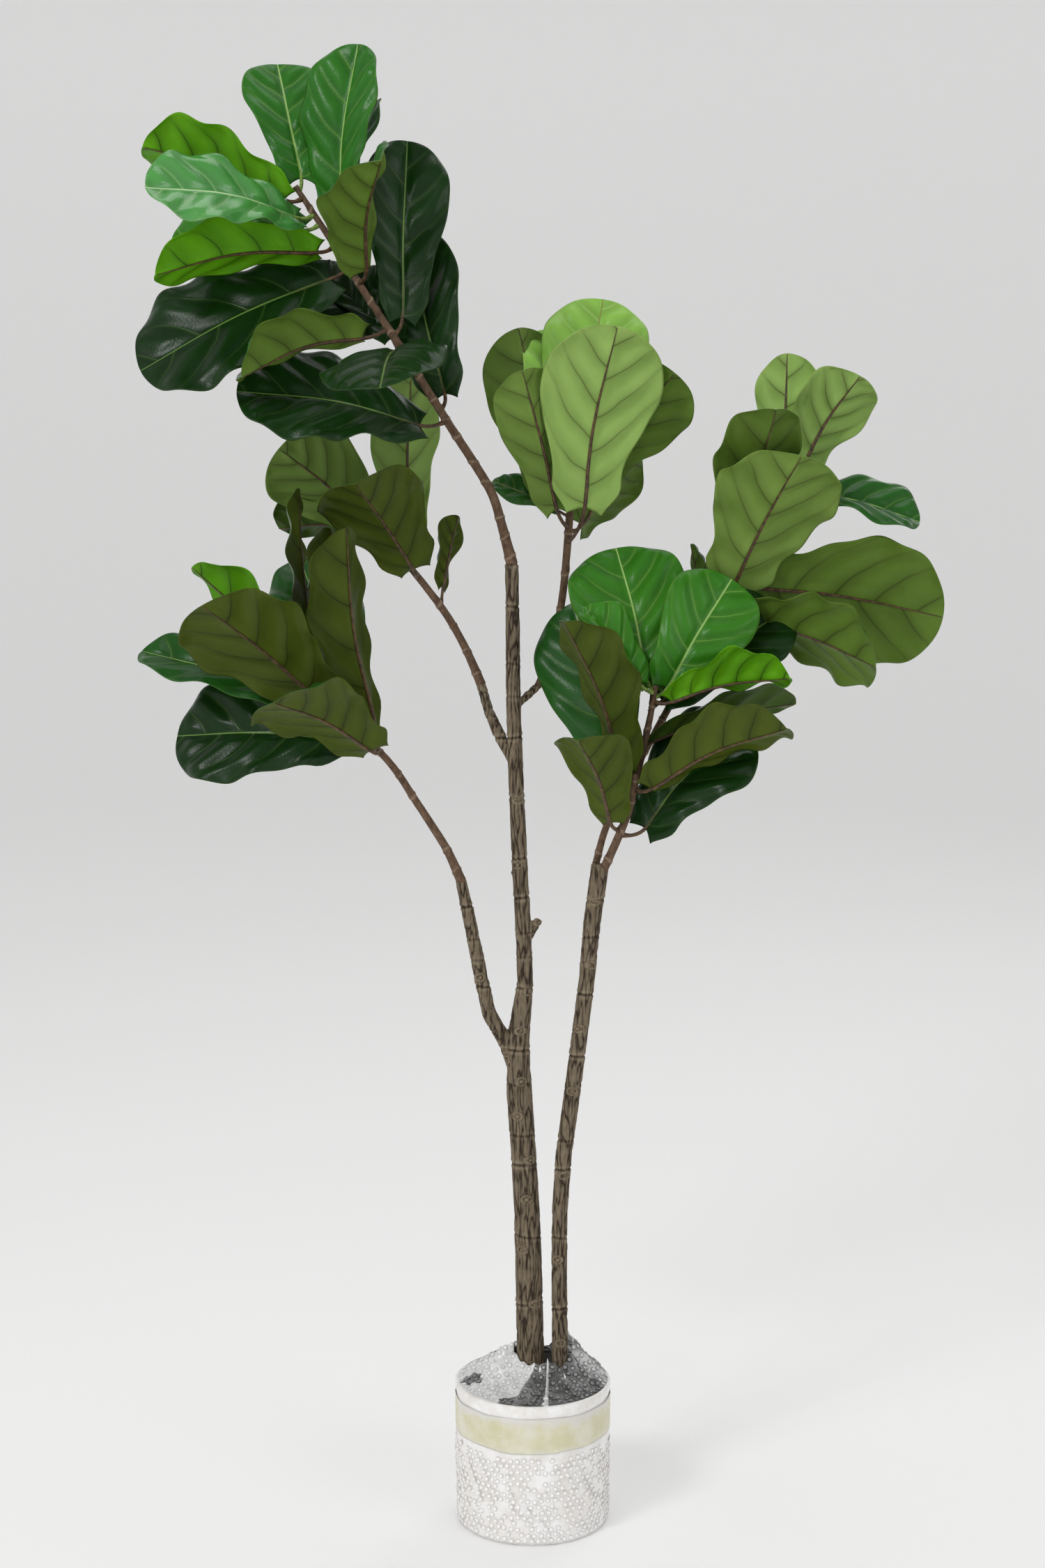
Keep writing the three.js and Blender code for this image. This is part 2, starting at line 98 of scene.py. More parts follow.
# a CAD node's mesh is loose triangles, so a copy is merged before its rings are read
def mergedCopy(node):
    mesh = bmesh.new()
    mesh.from_mesh(node.data)
    bmesh.ops.remove_doubles(mesh, verts=mesh.verts, dist=1e-5)
    return mesh


# an object in the scene that is there only to have its modifiers applied
def newMaker(mesh):
    maker = bpy.data.objects.new("maker", mesh)
    scene.collection.objects.link(maker)
    return maker


# the maker's mesh with its modifiers applied; the maker itself goes
def appliedMesh(maker, name):
    depsgraph = bpy.context.evaluated_depsgraph_get()
    mesh = bpy.data.meshes.new_from_object(maker.evaluated_get(depsgraph))
    mesh.name = name
    bpy.data.objects.remove(maker)
    return mesh


def newPiece(name, mesh, materials, replaced=()):
    piece = bpy.data.objects.new(name, mesh)
    scene.collection.objects.link(piece)
    for material in materials:
        mesh.materials.append(material)
    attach(piece, "root")
    if replaced:
        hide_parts(*replaced)
    return piece


# ---- camera, floor and light

cameraSetup = {
    "place": (-0.013, -3.3, 1.5),
    "pitch": 9.6,  # degrees below level
    "lens": 63.2,
}
camera = bpy.data.objects.new("camera", bpy.data.cameras.new("camera"))
scene.collection.objects.link(camera)
camera.location = cameraSetup["place"]
camera.rotation_euler = (math.radians(90 - cameraSetup["pitch"]), 0, 0)
camera.data.lens = cameraSetup["lens"]
camera.data.sensor_width = 36
scene.camera = camera
scene.view_settings.view_transform = "Standard"

studio = {
    "radius": 8.0,  # of the round pale floor, which turns up into a wall all round
    "bend": 2.5,
    "height": 7.0,
    "paper": "#ebebeb",
    "glow": 0.2,  # evens out the far wall
    "sky": "#f7f6f5",
    "skyStrength": 0.38,
}


def studioFloor():
    profile = [(0.0, 0.0), (1.0, 0.0), (2.0, 0.0), (studio["radius"] - studio["bend"], 0.0)]
    for i in range(1, 13):
        turn = math.radians(90 * i / 12)
        profile.append((studio["radius"] - studio["bend"] * (1 - math.sin(turn)),
                        studio["bend"] * (1 - math.cos(turn))))
    profile.append((studio["radius"], studio["height"]))
    sides = 96
    verts = [(0.0, 0.0, 0.0)]
    faces = []
    for r, z in profile[1:]:
        for k in range(sides):
            turn = 2 * math.pi * k / sides
            verts.append((r * math.cos(turn), r * math.sin(turn), z))
    for k in range(sides):
        faces.append((0, 1 + k, 1 + (k + 1) % sides))
    for row in range(len(profile) - 2):
        for k in range(sides):
            a, b = 1 + row * sides + k, 1 + row * sides + (k + 1) % sides
            faces.append((a, a + sides, b + sides, b))
    mesh = bpy.data.meshes.new("studioFloor")
    mesh.from_pydata(verts, [], faces)
    mesh.shade_smooth()
    paper = newMaterial("studioPaper", {
        "Base Color": hexColor(studio["paper"]), "Roughness": 0.9,
        "Emission Color": hexColor(studio["paper"]), "Emission Strength": studio["glow"]})[0]
    mesh.materials.append(paper)
    floor = bpy.data.objects.new("studioFloor", mesh)
    scene.collection.objects.link(floor)


studioFloor()

world = bpy.data.worlds.new("studioWorld")
world.use_nodes = True
sky = world.node_tree.nodes["Background"]
sky.inputs["Color"].default_value = hexColor(studio["sky"])
sky.inputs["Strength"].default_value = studio["skyStrength"]
scene.world = world

# name: place, what it points at, size in metres, watts
softLights = {
    "keyLight": ((-2.3, -2.6, 3.6), (0, 0, 1.2), 1.0, 54),
    "fillLight": ((2.8, -2.4, 2.2), (0, 0, 0.8), 1.6, 14),
    "topLight": ((0.2, 0.4, 4.2), (0, 0, 1.0), 2.2, 24),
    "lowLight": ((-1.2, -2.8, 1.1), (0, 0, 0.1), 1.0, 9),
    "backLight": ((1.6, 2.8, 3.2), (0, 0, 1.2), 1.6, 13),
}
for name, (place, aim, size, watts) in softLights.items():
    light = bpy.data.lights.new(name, "AREA")
    light.size = size
    light.energy = watts
    lamp = bpy.data.objects.new(name, light)
    scene.collection.objects.link(lamp)
    lamp.location = place
    lamp.rotation_euler = (Vector(aim) - Vector(place)).to_track_quat("-Z", "Y").to_euler()
print("camera, floor and light ready")


# ---- leaves: materials

# shared by both sides of a leaf; sizes in millimetres
veinPattern = {
    "bend": 0.0075,  # how fast the side veins turn forward
    "sideShift": 0.2,  # left veins leave the midrib a little after the right ones
    "lineWidth": 1.5,  # finer in the real moulding; this coarse so that it shows
    "lineFade": (0.5, 0.82),  # share of the half width over which a side vein dies out
}


# the side veins and the midrib as masks, from each point's place on the blade
def veinMasks(tree):
    place = addNode(tree, "ShaderNodeAttribute", {"attribute_name": "leafPlace"})
    form = addNode(tree, "ShaderNodeAttribute", {"attribute_name": "leafForm"})
    at = addNode(tree, "ShaderNodeSeparateXYZ", {}, {0: place.outputs["Vector"]})
    own = addNode(tree, "ShaderNodeSeparateXYZ", {}, {0: form.outputs["Vector"]})
    coords = addNode(tree, "ShaderNodeTexCoord")
    wander = addNode(tree, "ShaderNodeTexNoise", {}, {
        "Vector": coords.outputs["Object"], "Scale": 22.0, "Detail": 1.0})
    drift = addNode(tree, "ShaderNodeMath", {"operation": "MULTIPLY_ADD"}, {
        0: wander.outputs[0], 1: 14.0, 2: -7.0})
    across = addNode(tree, "ShaderNodeMath", {"operation": "ABSOLUTE"}, {0: at.outputs[0]})
    turn = addNode(tree, "ShaderNodeMath", {"operation": "MULTIPLY_ADD"}, {
        0: across.outputs[0], 1: veinPattern["bend"], 2: own.outputs[1]})
    forward = addNode(tree, "ShaderNodeMath", {"operation": "MULTIPLY"}, {
        0: across.outputs[0], 1: turn.outputs[0]})
    along = addNode(tree, "ShaderNodeMath", {"operation": "ADD"}, {
        0: at.outputs[1], 1: drift.outputs[0]})
    start = addNode(tree, "ShaderNodeMath", {"operation": "SUBTRACT"}, {
        0: along.outputs[0], 1: forward.outputs[0]})
    count = addNode(tree, "ShaderNodeMath", {"operation": "DIVIDE"}, {
        0: start.outputs[0], 1: own.outputs[0]})
    side = addNode(tree, "ShaderNodeMath", {"operation": "SIGN"}, {0: at.outputs[0]})
    shifted = addNode(tree, "ShaderNodeMath", {"operation": "MULTIPLY_ADD"}, {
        0: side.outputs[0], 1: veinPattern["sideShift"], 2: count.outputs[0]})
    near = addNode(tree, "ShaderNodeMath", {"operation": "PINGPONG"}, {
        0: shifted.outputs[0], 1: 0.5})
    apart = addNode(tree, "ShaderNodeMath", {"operation": "MULTIPLY"}, {
        0: near.outputs[0], 1: own.outputs[0]})
    edge = addNode(tree, "ShaderNodeMath", {"operation": "ABSOLUTE"}, {0: at.outputs[2]})
    width = addNode(tree, "ShaderNodeMapRange", {}, {
        "Value": edge.outputs[0], "To Min": veinPattern["lineWidth"],
        "To Max": veinPattern["lineWidth"] * 0.35})
    line = addNode(tree, "ShaderNodeMapRange", {"interpolation_type": "SMOOTHSTEP"}, {
        "Value": apart.outputs[0], "From Min": 0.2, "From Max": width.outputs[0],
        "To Min": 1.0, "To Max": 0.0})
    fade = addNode(tree, "ShaderNodeMapRange", {"interpolation_type": "SMOOTHSTEP"}, {
        "Value": edge.outputs[0], "From Min": veinPattern["lineFade"][0],
        "From Max": veinPattern["lineFade"][1], "To Min": 1.0, "To Max": 0.0})
    veins = addNode(tree, "ShaderNodeMath", {"operation": "MULTIPLY"}, {
        0: line.outputs[0], 1: fade.outputs[0]})
    ribWidth = addNode(tree, "ShaderNodeMapRange", {}, {
        "Value": at.outputs[1], "From Max": 220.0, "To Min": 2.6, "To Max": 0.9})
    rib = addNode(tree, "ShaderNodeMapRange", {"interpolation_type": "SMOOTHSTEP"}, {
        "Value": across.outputs[0], "From Min": 0.4, "From Max": ribWidth.outputs[0],
        "To Min": 1.0, "To Max": 0.0})
    # a painted highlight along the blade's rim, where its thickness catches the light
    margin = addNode(tree, "ShaderNodeMapRange", {"interpolation_type": "SMOOTHSTEP"}, {
        "Value": edge.outputs[0], "From Min": 0.96, "From Max": 1.0})
    # painted shade and light for the quilting: the blade is painted darker beside a vein and
    # lighter where it swells between two
    swell = addNode(tree, "ShaderNodeMapRange", {"interpolation_type": "SMOOTHSTEP"}, {
        "Value": near.outputs[0], "From Min": 0.0, "From Max": 0.42,
        "To Min": -0.17, "To Max": 0.09})
    inward = addNode(tree, "ShaderNodeMapRange", {}, {
        "Value": edge.outputs[0], "From Min": 0.3, "From Max": 0.95,
        "To Min": 1.0, "To Max": 0.15})
    toneAndQuiltShade = addNode(tree, "ShaderNodeMath", {"operation": "MULTIPLY_ADD"}, {
        0: swell.outputs[0], 1: inward.outputs[0], 2: own.outputs[2]})
    # fine net between the veins
    net = addNode(tree, "ShaderNodeTexVoronoi", {"feature": "DISTANCE_TO_EDGE"}, {
        "Vector": coords.outputs["Object"], "Scale": 230.0, "Randomness": 1.0})
    # close to a vein the blade dips, wider than the line itself; the underside paints shade
    # there
    hollow = addNode(tree, "ShaderNodeMapRange", {"interpolation_type": "SMOOTHSTEP"}, {
        "Value": apart.outputs[0], "From Min": 0.0, "From Max": 6.0,
        "To Min": 1.0, "To Max": 0.0})
    return {"veins": veins.outputs[0], "rib": rib.outputs[0], "margin": margin.outputs[0],
            "net": net.outputs[0], "toneAndQuiltShade": toneAndQuiltShade.outputs[0], "hollow": hollow.outputs[0],
            "edge": edge.outputs[0], "object": coords.outputs["Object"]}


# one colour laid over another where a mask says, up to a share of it
def laidOver(tree, below, mask, share, color):
    amount = addNode(tree, "ShaderNodeMath", {"operation": "MULTIPLY"}, {0: mask, 1: share})
    mixed = addNode(tree, "ShaderNodeMix", {"data_type": "RGBA"}, {
        0: amount.outputs[0], 6: below, 7: hexColor(color)})
    return mixed.outputs[2]


# moulded polyethylene leaf, printed dark green and lightly lacquered: deep colour, soft gloss
def leafTopMaterial(name, look):
    material, tree, shader = newMaterial(name, {
        "Roughness": look.get("rough", 0.3), "IOR": 1.5,
        "Specular IOR Level": look.get("shine", 0.22)})
    masks = veinMasks(tree)
    mottle = addNode(tree, "ShaderNodeTexNoise", {}, {
        "Vector": masks["object"], "Scale": 16.0, "Detail": 4.0, "Roughness": 0.6})
    body = addNode(tree, "ShaderNodeMix", {"data_type": "RGBA"}, {
        0: mottle.outputs[0], 6: hexColor(look["top"]), 7: hexColor(look["topLight"])})
    # painted shade and light of the quilting, together with each leaf's own tone, darken and
    # lighten the body
    toned = addNode(tree, "ShaderNodeHueSaturation", {}, {
        "Value": masks["toneAndQuiltShade"], "Color": body.outputs[2]})
    # a vein's own line is pale and the blade beside it a little lighter
    color = laidOver(tree, toned.outputs[0], masks["hollow"], 0.12, look["vein"])
    color = laidOver(tree, color, masks["veins"], 0.42, look["vein"])
    color = laidOver(tree, color, masks["rib"], 0.85, look["midrib"])
    # painted highlight along the rim
    color = laidOver(tree, color, masks["margin"], 0.45, look["vein"])
    tree.links.new(color, shader.inputs["Base Color"])
    ground = addNode(tree, "ShaderNodeMath", {"operation": "MULTIPLY"}, {
        0: masks["net"], 1: 0.9})
    height = addNode(tree, "ShaderNodeMath", {"operation": "SUBTRACT"}, {
        0: ground.outputs[0], 1: masks["veins"]})
    bump = addNode(tree, "ShaderNodeBump", {}, {
        "Strength": 0.35, "Distance": 0.0006, "Height": height.outputs[0]})
    tree.links.new(bump.outputs[0], shader.inputs["Normal"])
    return material


# the same moulding's matt underside: raised brown veins on pale sage to olive
def leafUnderMaterial(name, look):
    material, tree, shader = newMaterial(name, {
        "Roughness": 0.5, "IOR": 1.46, "Specular IOR Level": 0.14})
    masks = veinMasks(tree)
    mottle = addNode(tree, "ShaderNodeTexNoise", {}, {
        "Vector": masks["object"], "Scale": 14.0, "Detail": 4.0, "Roughness": 0.6})
    body = addNode(tree, "ShaderNodeMix", {"data_type": "RGBA"}, {
        0: mottle.outputs[0], 6: hexColor(look["under"]), 7: hexColor(look["underLight"])})
    # painted shade and light of the quilting, together with each leaf's own tone, darken and
    # lighten the body
    toned = addNode(tree, "ShaderNodeHueSaturation", {}, {
        "Value": masks["toneAndQuiltShade"], "Color": body.outputs[2]})
    # painted shade in the dip beside each vein
    color = laidOver(tree, toned.outputs[0], masks["hollow"], 0.22, look["underVein"])
    color = laidOver(tree, color, masks["veins"], 0.8, look["underVein"])
    # painted highlight along the rim
    color = laidOver(tree, color, masks["margin"], 0.5, look["underLight"])
    tree.links.new(color, shader.inputs["Base Color"])
    height = addNode(tree, "ShaderNodeMath", {"operation": "MULTIPLY_ADD"}, {
        0: masks["net"], 1: 0.8, 2: masks["veins"]})
    bump = addNode(tree, "ShaderNodeBump", {}, {
        "Strength": 0.4, "Distance": 0.0007, "Height": height.outputs[0]})
    tree.links.new(bump.outputs[0], shader.inputs["Normal"])
    return material


# the wired stalk and rib, moulded with the blade: satin, with small pale flecks
def stalkMaterial(name, dark, light):
    material, tree, shader = newMaterial(name, {"Roughness": 0.5, "IOR": 1.46})
    coords = addNode(tree, "ShaderNodeTexCoord")
    flecks = addNode(tree, "ShaderNodeTexNoise", {}, {
        "Vector": coords.outputs["Object"], "Scale": 160.0, "Detail": 3.0})
    share = addNode(tree, "ShaderNodeMapRange", {}, {
        "Value": flecks.outputs[0], "From Min": 0.4, "From Max": 0.7})
    mixed = addNode(tree, "ShaderNodeMix", {"data_type": "RGBA"}, {
        0: share.outputs[0], 6: hexColor(dark), 7: hexColor(light)})
    tree.links.new(mixed.outputs[2], shader.inputs["Base Color"])
    bump = addNode(tree, "ShaderNodeBump", {}, {
        "Strength": 0.4, "Distance": 0.0004, "Height": flecks.outputs[0]})
    tree.links.new(bump.outputs[0], shader.inputs["Normal"])
    return material


leafLooks = {
    "deep": {"top": "#0a2409", "topLight": "#16380f", "vein": "#3f5f28", "midrib": "#6f8e48",
             "under": "#38501a", "underLight": "#465f20", "underVein": "#2c3612",
             "stalk": "brown"},
    "forest": {"top": "#153f14", "topLight": "#27611c", "vein": "#5c8a38", "midrib": "#94b264",
               "under": "#48621f", "underLight": "#58782c", "underVein": "#343f16",
               "stalk": "brown"},
    "grass": {"top": "#1c5416", "topLight": "#357a22", "vein": "#6ea244", "midrib": "#9cc06c",
              "under": "#4f7c22", "underLight": "#639432", "underVein": "#37501a",
              "stalk": "green"},
    "fresh": {"top": "#226014", "topLight": "#448a22", "vein": "#7db04a", "midrib": "#a9cc78",
              "under": "#4f7c22", "underLight": "#639432", "underVein": "#37501a",
              "stalk": "green"},
    "lime": {"top": "#3f8a10", "topLight": "#5fae16", "vein": "#a6d04c", "midrib": "#c6e070",
             "under": "#44800a", "underLight": "#66a814", "underVein": "#234208",
             "stalk": "brown"},
    "gloss": {"top": "#2c7a2c", "topLight": "#5aa650", "vein": "#9ccc80", "midrib": "#b6dc9c",
              "under": "#4f7c22", "underLight": "#639432", "underVein": "#37501a",
              "stalk": "green", "shine": 0.8, "rough": 0.22},
    "pale": {"top": "#7cae46", "topLight": "#9ccc5e", "vein": "#b4d880", "midrib": "#8a7c4a",
             "under": "#78984a", "underLight": "#96b462", "underVein": "#4f5c28",
             "stalk": "brown"},
    "sage": {"top": "#5c8a3c", "topLight": "#76a84e", "vein": "#90b868", "midrib": "#8a7c4a",
             "under": "#5c7630", "underLight": "#748f44", "underVein": "#434e20",
             "stalk": "brown"},
    "olive": {"top": "#1f4a1a", "topLight": "#2f6422", "vein": "#6f9248", "midrib": "#8c9a58",
              "under": "#47601f", "underLight": "#5f7a2e", "underVein": "#343c16",
              "stalk": "brown"},
    "umber": {"top": "#1b4114", "topLight": "#29561b", "vein": "#647f3c", "midrib": "#838c4c",
              "under": "#39450f", "underLight": "#4c5b18", "underVein": "#26290c",
              "stalk": "brown"},
}
stalks = {
    "brown": stalkMaterial("leafStalkBrown", "#3c2a18", "#644a2c"),
    "green": stalkMaterial("leafStalkGreen", "#6b8a3a", "#9cb45c"),
}
topMaterials = {key: leafTopMaterial("leafTop_" + key, look) for key, look in leafLooks.items()}
underMaterials = {key: leafUnderMaterial("leafUnder_" + key, look)
                  for key, look in leafLooks.items()}

# the look of each branch's leaves, in the order of the branch's leaf nodes
leafKinds = {
    "crown": ["lime", "gloss", "fresh", "lime", "grass", "grass", "deep", "olive", "deep",
              "deep", "olive", "deep", "deep"],
    # upper_left's third leaf takes the pale look to lighten it where it lies in the crown
    # leaf's shadow: painted light
    "upper_left": ["sage", "umber", "pale", "deep"],
    "lower_left": ["umber", "umber", "umber", "deep", "forest", "lime", "umber", "forest"],
    "middle": ["pale", "pale", "sage", "sage", "olive", "olive"],
    "front": ["fresh", "fresh", "fresh", "forest", "umber", "lime", "umber", "deep", "umber"],
    "right": ["sage", "olive", "pale", "pale", "forest", "olive", "olive"],
}

# ---- leaves: shape

leafShape = {
    "columns": 40,
    "rows": 56,
    "edgeThickness": 0.9 * mm,
    "bodyThickness": 1.7 * mm,
    "stalkSides": 9,
    "stalkRadii": (3.3, 3.2, 2.5, 2.3),  # at the twig, just past it, and along to the neck
    "ribRadii": (2.55, 0.35),  # of the midrib under the blade: at the neck, at the tip
    "quilt": 4.2 * mm,  # how high the blade swells between two side veins
    "ruffle": 6.5 * mm,  # how far the rim waves up and down
    "ruffleLength": 62 * mm,
    "droop": (0.02, 0.07),  # how far the rim turns down, as a share of the half width
    "twist": 9,  # degrees either way, from the base to the tip
    "lobe": 9 * mm,  # how far the base lobes reach back beside the stalk
    "veinSpacing": (0.18, 0.22),  # share of the blade's length between two side veins
    "veinSlope": (0.42, 0.6),  # how far a side vein runs forward for its way across
    "waist": (0.0, 0.1),
    "widest": (0.62, 0.7),  # where along the blade it is widest
}
# where along the blade a CAD leaf has its sections, and how a section is made: how far its
# top stands over the blade's middle line, and where across the fold reaches its full height
ringShares = np.array([0, 0.02, 0.1, 0.26, 0.44, 0.62, 0.8, 0.92, 0.98, 1.0])
sectionTop = 0.8 * mm
foldReach = 0.85


# half width along the blade, as a share of the widest: lobed base, waist, broad round end
def outline(s, waist, widest):
    base = 0.3 + 0.28 * smooth(s, 0.0, 0.13)
    hip = (1 - base - waist) * smooth(s, 0.16, widest)
    end = np.sqrt(np.clip(1 - (np.clip(s - widest, 0, None) / (1 - widest)) ** 2.3, 0, 1))
    return (base + hip + waist * smooth(s, 0.1, widest)) * end


# a leaf's rings, read back from its CAD solid: centre line, up directions, widest half, fold
def readLeaf(node):
    mesh = mergedCopy(node)
    poles = [v for v in mesh.verts if len(v.link_edges) == 10]
    root = min(poles, key=lambda p: max((e.other_vert(p).co - p.co).length
                                        for e in p.link_edges))
    rings = []
    seen = {root}
    front = [root]
    while front:
        step = []
        for v in front:
            for e in v.link_edges:
                other = e.other_vert(v)
                if other not in seen:
                    seen.add(other)
                    step.append(other)
        if step:
            rings.append(step)
        front = step
    centres = [root.co.copy()]
    for ring in rings[:2]:
        centres.append(sum((v.co for v in ring), Vector()) / len(ring))
    ups, widths, folds = [], [], []
    for ring in rings[2:-1]:
        a, b = max(((p, q) for p in ring for q in ring),
                   key=lambda pair: (pair[0].co - pair[1].co).length)
        halves = splitRing(ring, a, b)
        top = min(halves, key=len)[1].co
        rib = max(halves, key=len)[2].co
        across = (b.co - a.co).normalized()
        up = top - rib
        up = (up - across * up.dot(across)).normalized()
        centre = top - up * sectionTop
        half = (a.co - b.co).length / 2
        rise = ((a.co + b.co) / 2 - centre).dot(up)
        centres.append(centre)
        ups.append(up)
        widths.append(half)
        folds.append(math.atan2(rise, foldReach * half))
    centres.append(rings[-1][0].co.copy())
    widest = int(np.argmax(widths))
    fold = folds[widest]
    found = {
        "line": [Vector(c) for c in centres],
        "ups": ups,
        "half": widths[widest] / math.cos(fold),
        "fold": fold,
    }
    mesh.free()
    return found


# the vertices of a closed ring on either way round from a to b
def splitRing(ring, a, b):
    members = set(ring)
    halves = []
    for first in [e.other_vert(a) for e in a.link_edges if e.other_vert(a) in members]:
        chain, previous, here = [], a, first
        while here is not b:
            chain.append(here)
            onward = [e.other_vert(here) for e in here.link_edges
                      if e.other_vert(here) in members and e.other_vert(here) is not previous]
            previous, here = here, onward[0]
        halves.append(chain)
    return halves


def fitted(shares, values, degree, at):
    values = np.array([list(v) for v in values])
    return np.stack([np.polyval(np.polyfit(shares, values[:, k], degree), at)
                     for k in range(3)], axis=1)


def unit(rows):
    return rows / np.linalg.norm(rows, axis=1, keepdims=True)


def makeLeaf(name, form, look, seed, replaced=(), size=1.0):
    rng = random.Random(seed)
    columns, rows = leafShape["columns"], leafShape["rows"]
    line, ups = form["line"], form["ups"]
    shares = np.sin(np.linspace(0, 1, rows + 1) * math.pi / 2) ** 1.15
    shares[-1] = 1.0
    centre = fitted(ringShares, line[2:], 5, shares)
    ahead = fitted(ringShares, line[2:], 5, shares + 1e-3)
    along = unit(ahead - centre)
    up = fitted(ringShares[1:-1], ups, 3, shares)
    up = unit(up - along * np.sum(up * along, axis=1, keepdims=True))
    right = np.cross(up, along)
    steps = np.concatenate([[0], np.cumsum(np.linalg.norm(np.diff(centre, axis=0), axis=1))])
    length = steps[-1]
    half = form["half"]
    spacing = length * rng.uniform(*leafShape["veinSpacing"])
    slope = rng.uniform(*leafShape["veinSlope"])

    # the blade laid out flat: rows from base to tip, columns from left rim to right rim
    waist = rng.uniform(*leafShape["waist"])
    widest = rng.uniform(*leafShape["widest"])
    width = half * outline(shares, waist, widest)
    offsets = np.linspace(-1, 1, columns + 1)
    offsets = np.sign(offsets) * np.abs(offsets) ** 0.9
    share, offset = np.meshgrid(shares, offsets, indexing="ij")
    halfWidth = width[:, None] * np.ones_like(offset)
    out = np.abs(offset)
    x = offset * halfWidth
    y = steps[:, None] * np.ones_like(offset)
    side = np.where(offset < 0, -1.0, 1.0)

    # its height: folded along the midrib, quilted between the veins, ruffled at the rim
    lift = math.sin(form["fold"])
    spread = math.cos(form["fold"])
    crease = np.sqrt(out ** 2 + 0.004) - 0.063
    z = crease * halfWidth * lift * (1.25 - 0.4 * out)
    bend = veinPattern["bend"] / mm
    across = np.abs(x)
    # side veins stand closer together towards the base
    veinY = length * (y / length) ** 0.86
    phase = (veinY - across * slope - bend * across ** 2) / spacing
    phase = phase + side * veinPattern["sideShift"]
    swell = (0.5 - 0.5 * np.cos(2 * math.pi * phase)) ** 0.8
    window = smooth(out, 0.02, 0.2) * (1 - smooth(out, 0.72, 1.0)) * smooth(share, 0.0, 0.12)
    window *= 1 - smooth(share, 0.88, 1.0)
    z += leafShape["quilt"] * size * swell * window * rng.uniform(0.8, 1.2)
    leftWave, rightWave = rng.uniform(0, 6.28), rng.uniform(0, 6.28)
    wave = np.sin(2 * math.pi * y / (leafShape["ruffleLength"] * rng.uniform(0.85, 1.2))
                  + np.where(offset < 0, leftWave, rightWave))
    ruffle = leafShape["ruffle"] * size * rng.uniform(0.5, 1.1)
    z += ruffle * wave * out ** 3 * smooth(halfWidth / half, 0.2, 0.8)
    z -= rng.uniform(*leafShape["droop"]) * halfWidth * out ** 5
    twist = math.radians(rng.uniform(-leafShape["twist"], leafShape["twist"])) * (share - 0.4)
    z += x * np.tan(twist)
    back = leafShape["lobe"] * size * out ** 1.5 * (1 - smooth(share, 0.0, 0.2))

    place = (centre[:, None, :] + right[:, None, :] * (x * spread)[..., None]
             + up[:, None, :] * z[..., None] - along[:, None, :] * back[..., None])
    thick = leafShape["edgeThickness"] + (leafShape["bodyThickness"]
                                          - leafShape["edgeThickness"]) * (1 - out)
    normal = up[:, None, :] * spread - right[:, None, :] * (side * lift)[..., None]
    topSide = place + normal * (thick / 2)[..., None]
    underSide = place - normal * (thick / 2)[..., None]

    # top and underside share the points of the rim, so the blade is closed
    count = (rows + 1) * (columns + 1)
    index = np.arange(count).reshape(rows + 1, columns + 1)
    rim = np.zeros_like(index, dtype=bool)
    rim[0, :] = rim[-1, :] = rim[:, 0] = rim[:, -1] = True
    topSide[rim] = place[rim]
    under = index + count
    under[rim] = index[rim]
    inner = ~rim
    under[inner] = count + np.arange(inner.sum())
    verts = np.concatenate([topSide.reshape(-1, 3), underSide[inner]])
    grid = np.stack([x / mm, veinY / mm, offset], axis=-1)
    places = np.concatenate([grid.reshape(-1, 3), grid[inner]])

    def quads(ids):
        a, b, c, d = ids[:-1, :-1], ids[:-1, 1:], ids[1:, 1:], ids[1:, :-1]
        return np.stack([a, b, c, d], axis=-1).reshape(-1, 4)

    topFaces = quads(index)[:, ::-1]
    underFaces = quads(under)
    bladeFaces = len(topFaces)

    # the stalk goes on under the blade as its midrib and thins out towards the tip
    neck = Vector(centre[0])
    root = line[0]
    leave = (line[1] - line[0]).normalized()
    path = [root - leave * 4 * mm * size, root, root + leave * 4 * mm * size]
    radii = list(leafShape["stalkRadii"][:3])
    entry = Vector(along[0])
    for k in range(1, 6):
        gone = k / 5
        a = path[2].lerp(path[2] + leave * (neck - path[2]).length * 0.6, gone)
        b = (neck - entry * (neck - path[2]).length * 0.4).lerp(neck, gone)
        path.append(a.lerp(b, gone * gone * (3 - 2 * gone)))
        radii.append(leafShape["stalkRadii"][3])
    ribNeck, ribTip = leafShape["ribRadii"]
    sunk = leafShape["bodyThickness"] * 0.45 + 0.4 * mm
    for k in range(2, rows - 3, 2):
        path.append(Vector(place[k, columns // 2] - up[k] * sunk))
        radii.append((ribNeck - ribTip) * (1 - shares[k]) ** 0.8 + ribTip)
    stalkVerts, stalkFaces = tube(path, [r * mm * size for r in radii],
                                  leafShape["stalkSides"])
    base = len(verts)
    verts = np.concatenate([verts, stalkVerts])
    places = np.concatenate([places, np.zeros((len(stalkVerts), 3))])
    faces = [tuple(f) for f in topFaces] + [tuple(f) for f in underFaces]
    faces += [tuple(i + base for i in f) for f in stalkFaces]

    mesh = bpy.data.meshes.new(name)
    mesh.from_pydata(verts.tolist(), [], [tuple(int(i) for i in f) for f in faces])
    slots = np.full(len(faces), 2, dtype=np.int32)
    slots[:bladeFaces] = 0
    slots[bladeFaces:2 * bladeFaces] = 1
    mesh.polygons.foreach_set("material_index", slots)
    mesh.shade_smooth()
    placeLayer = mesh.attributes.new("leafPlace", "FLOAT_VECTOR", "POINT")
    placeLayer.data.foreach_set("vector", places.astype(np.float32).ravel())
    formLayer = mesh.attributes.new("leafForm", "FLOAT_VECTOR", "POINT")
    ownForm = np.tile([spacing / mm, slope, rng.uniform(0.9, 1.1)], (len(verts), 1))
    formLayer.data.foreach_set("vector", ownForm.astype(np.float32).ravel())
    stalk = stalks[leafLooks[look]["stalk"]]
    return newPiece(name, mesh, [topMaterials[look], underMaterials[look], stalk],
                    replaced)


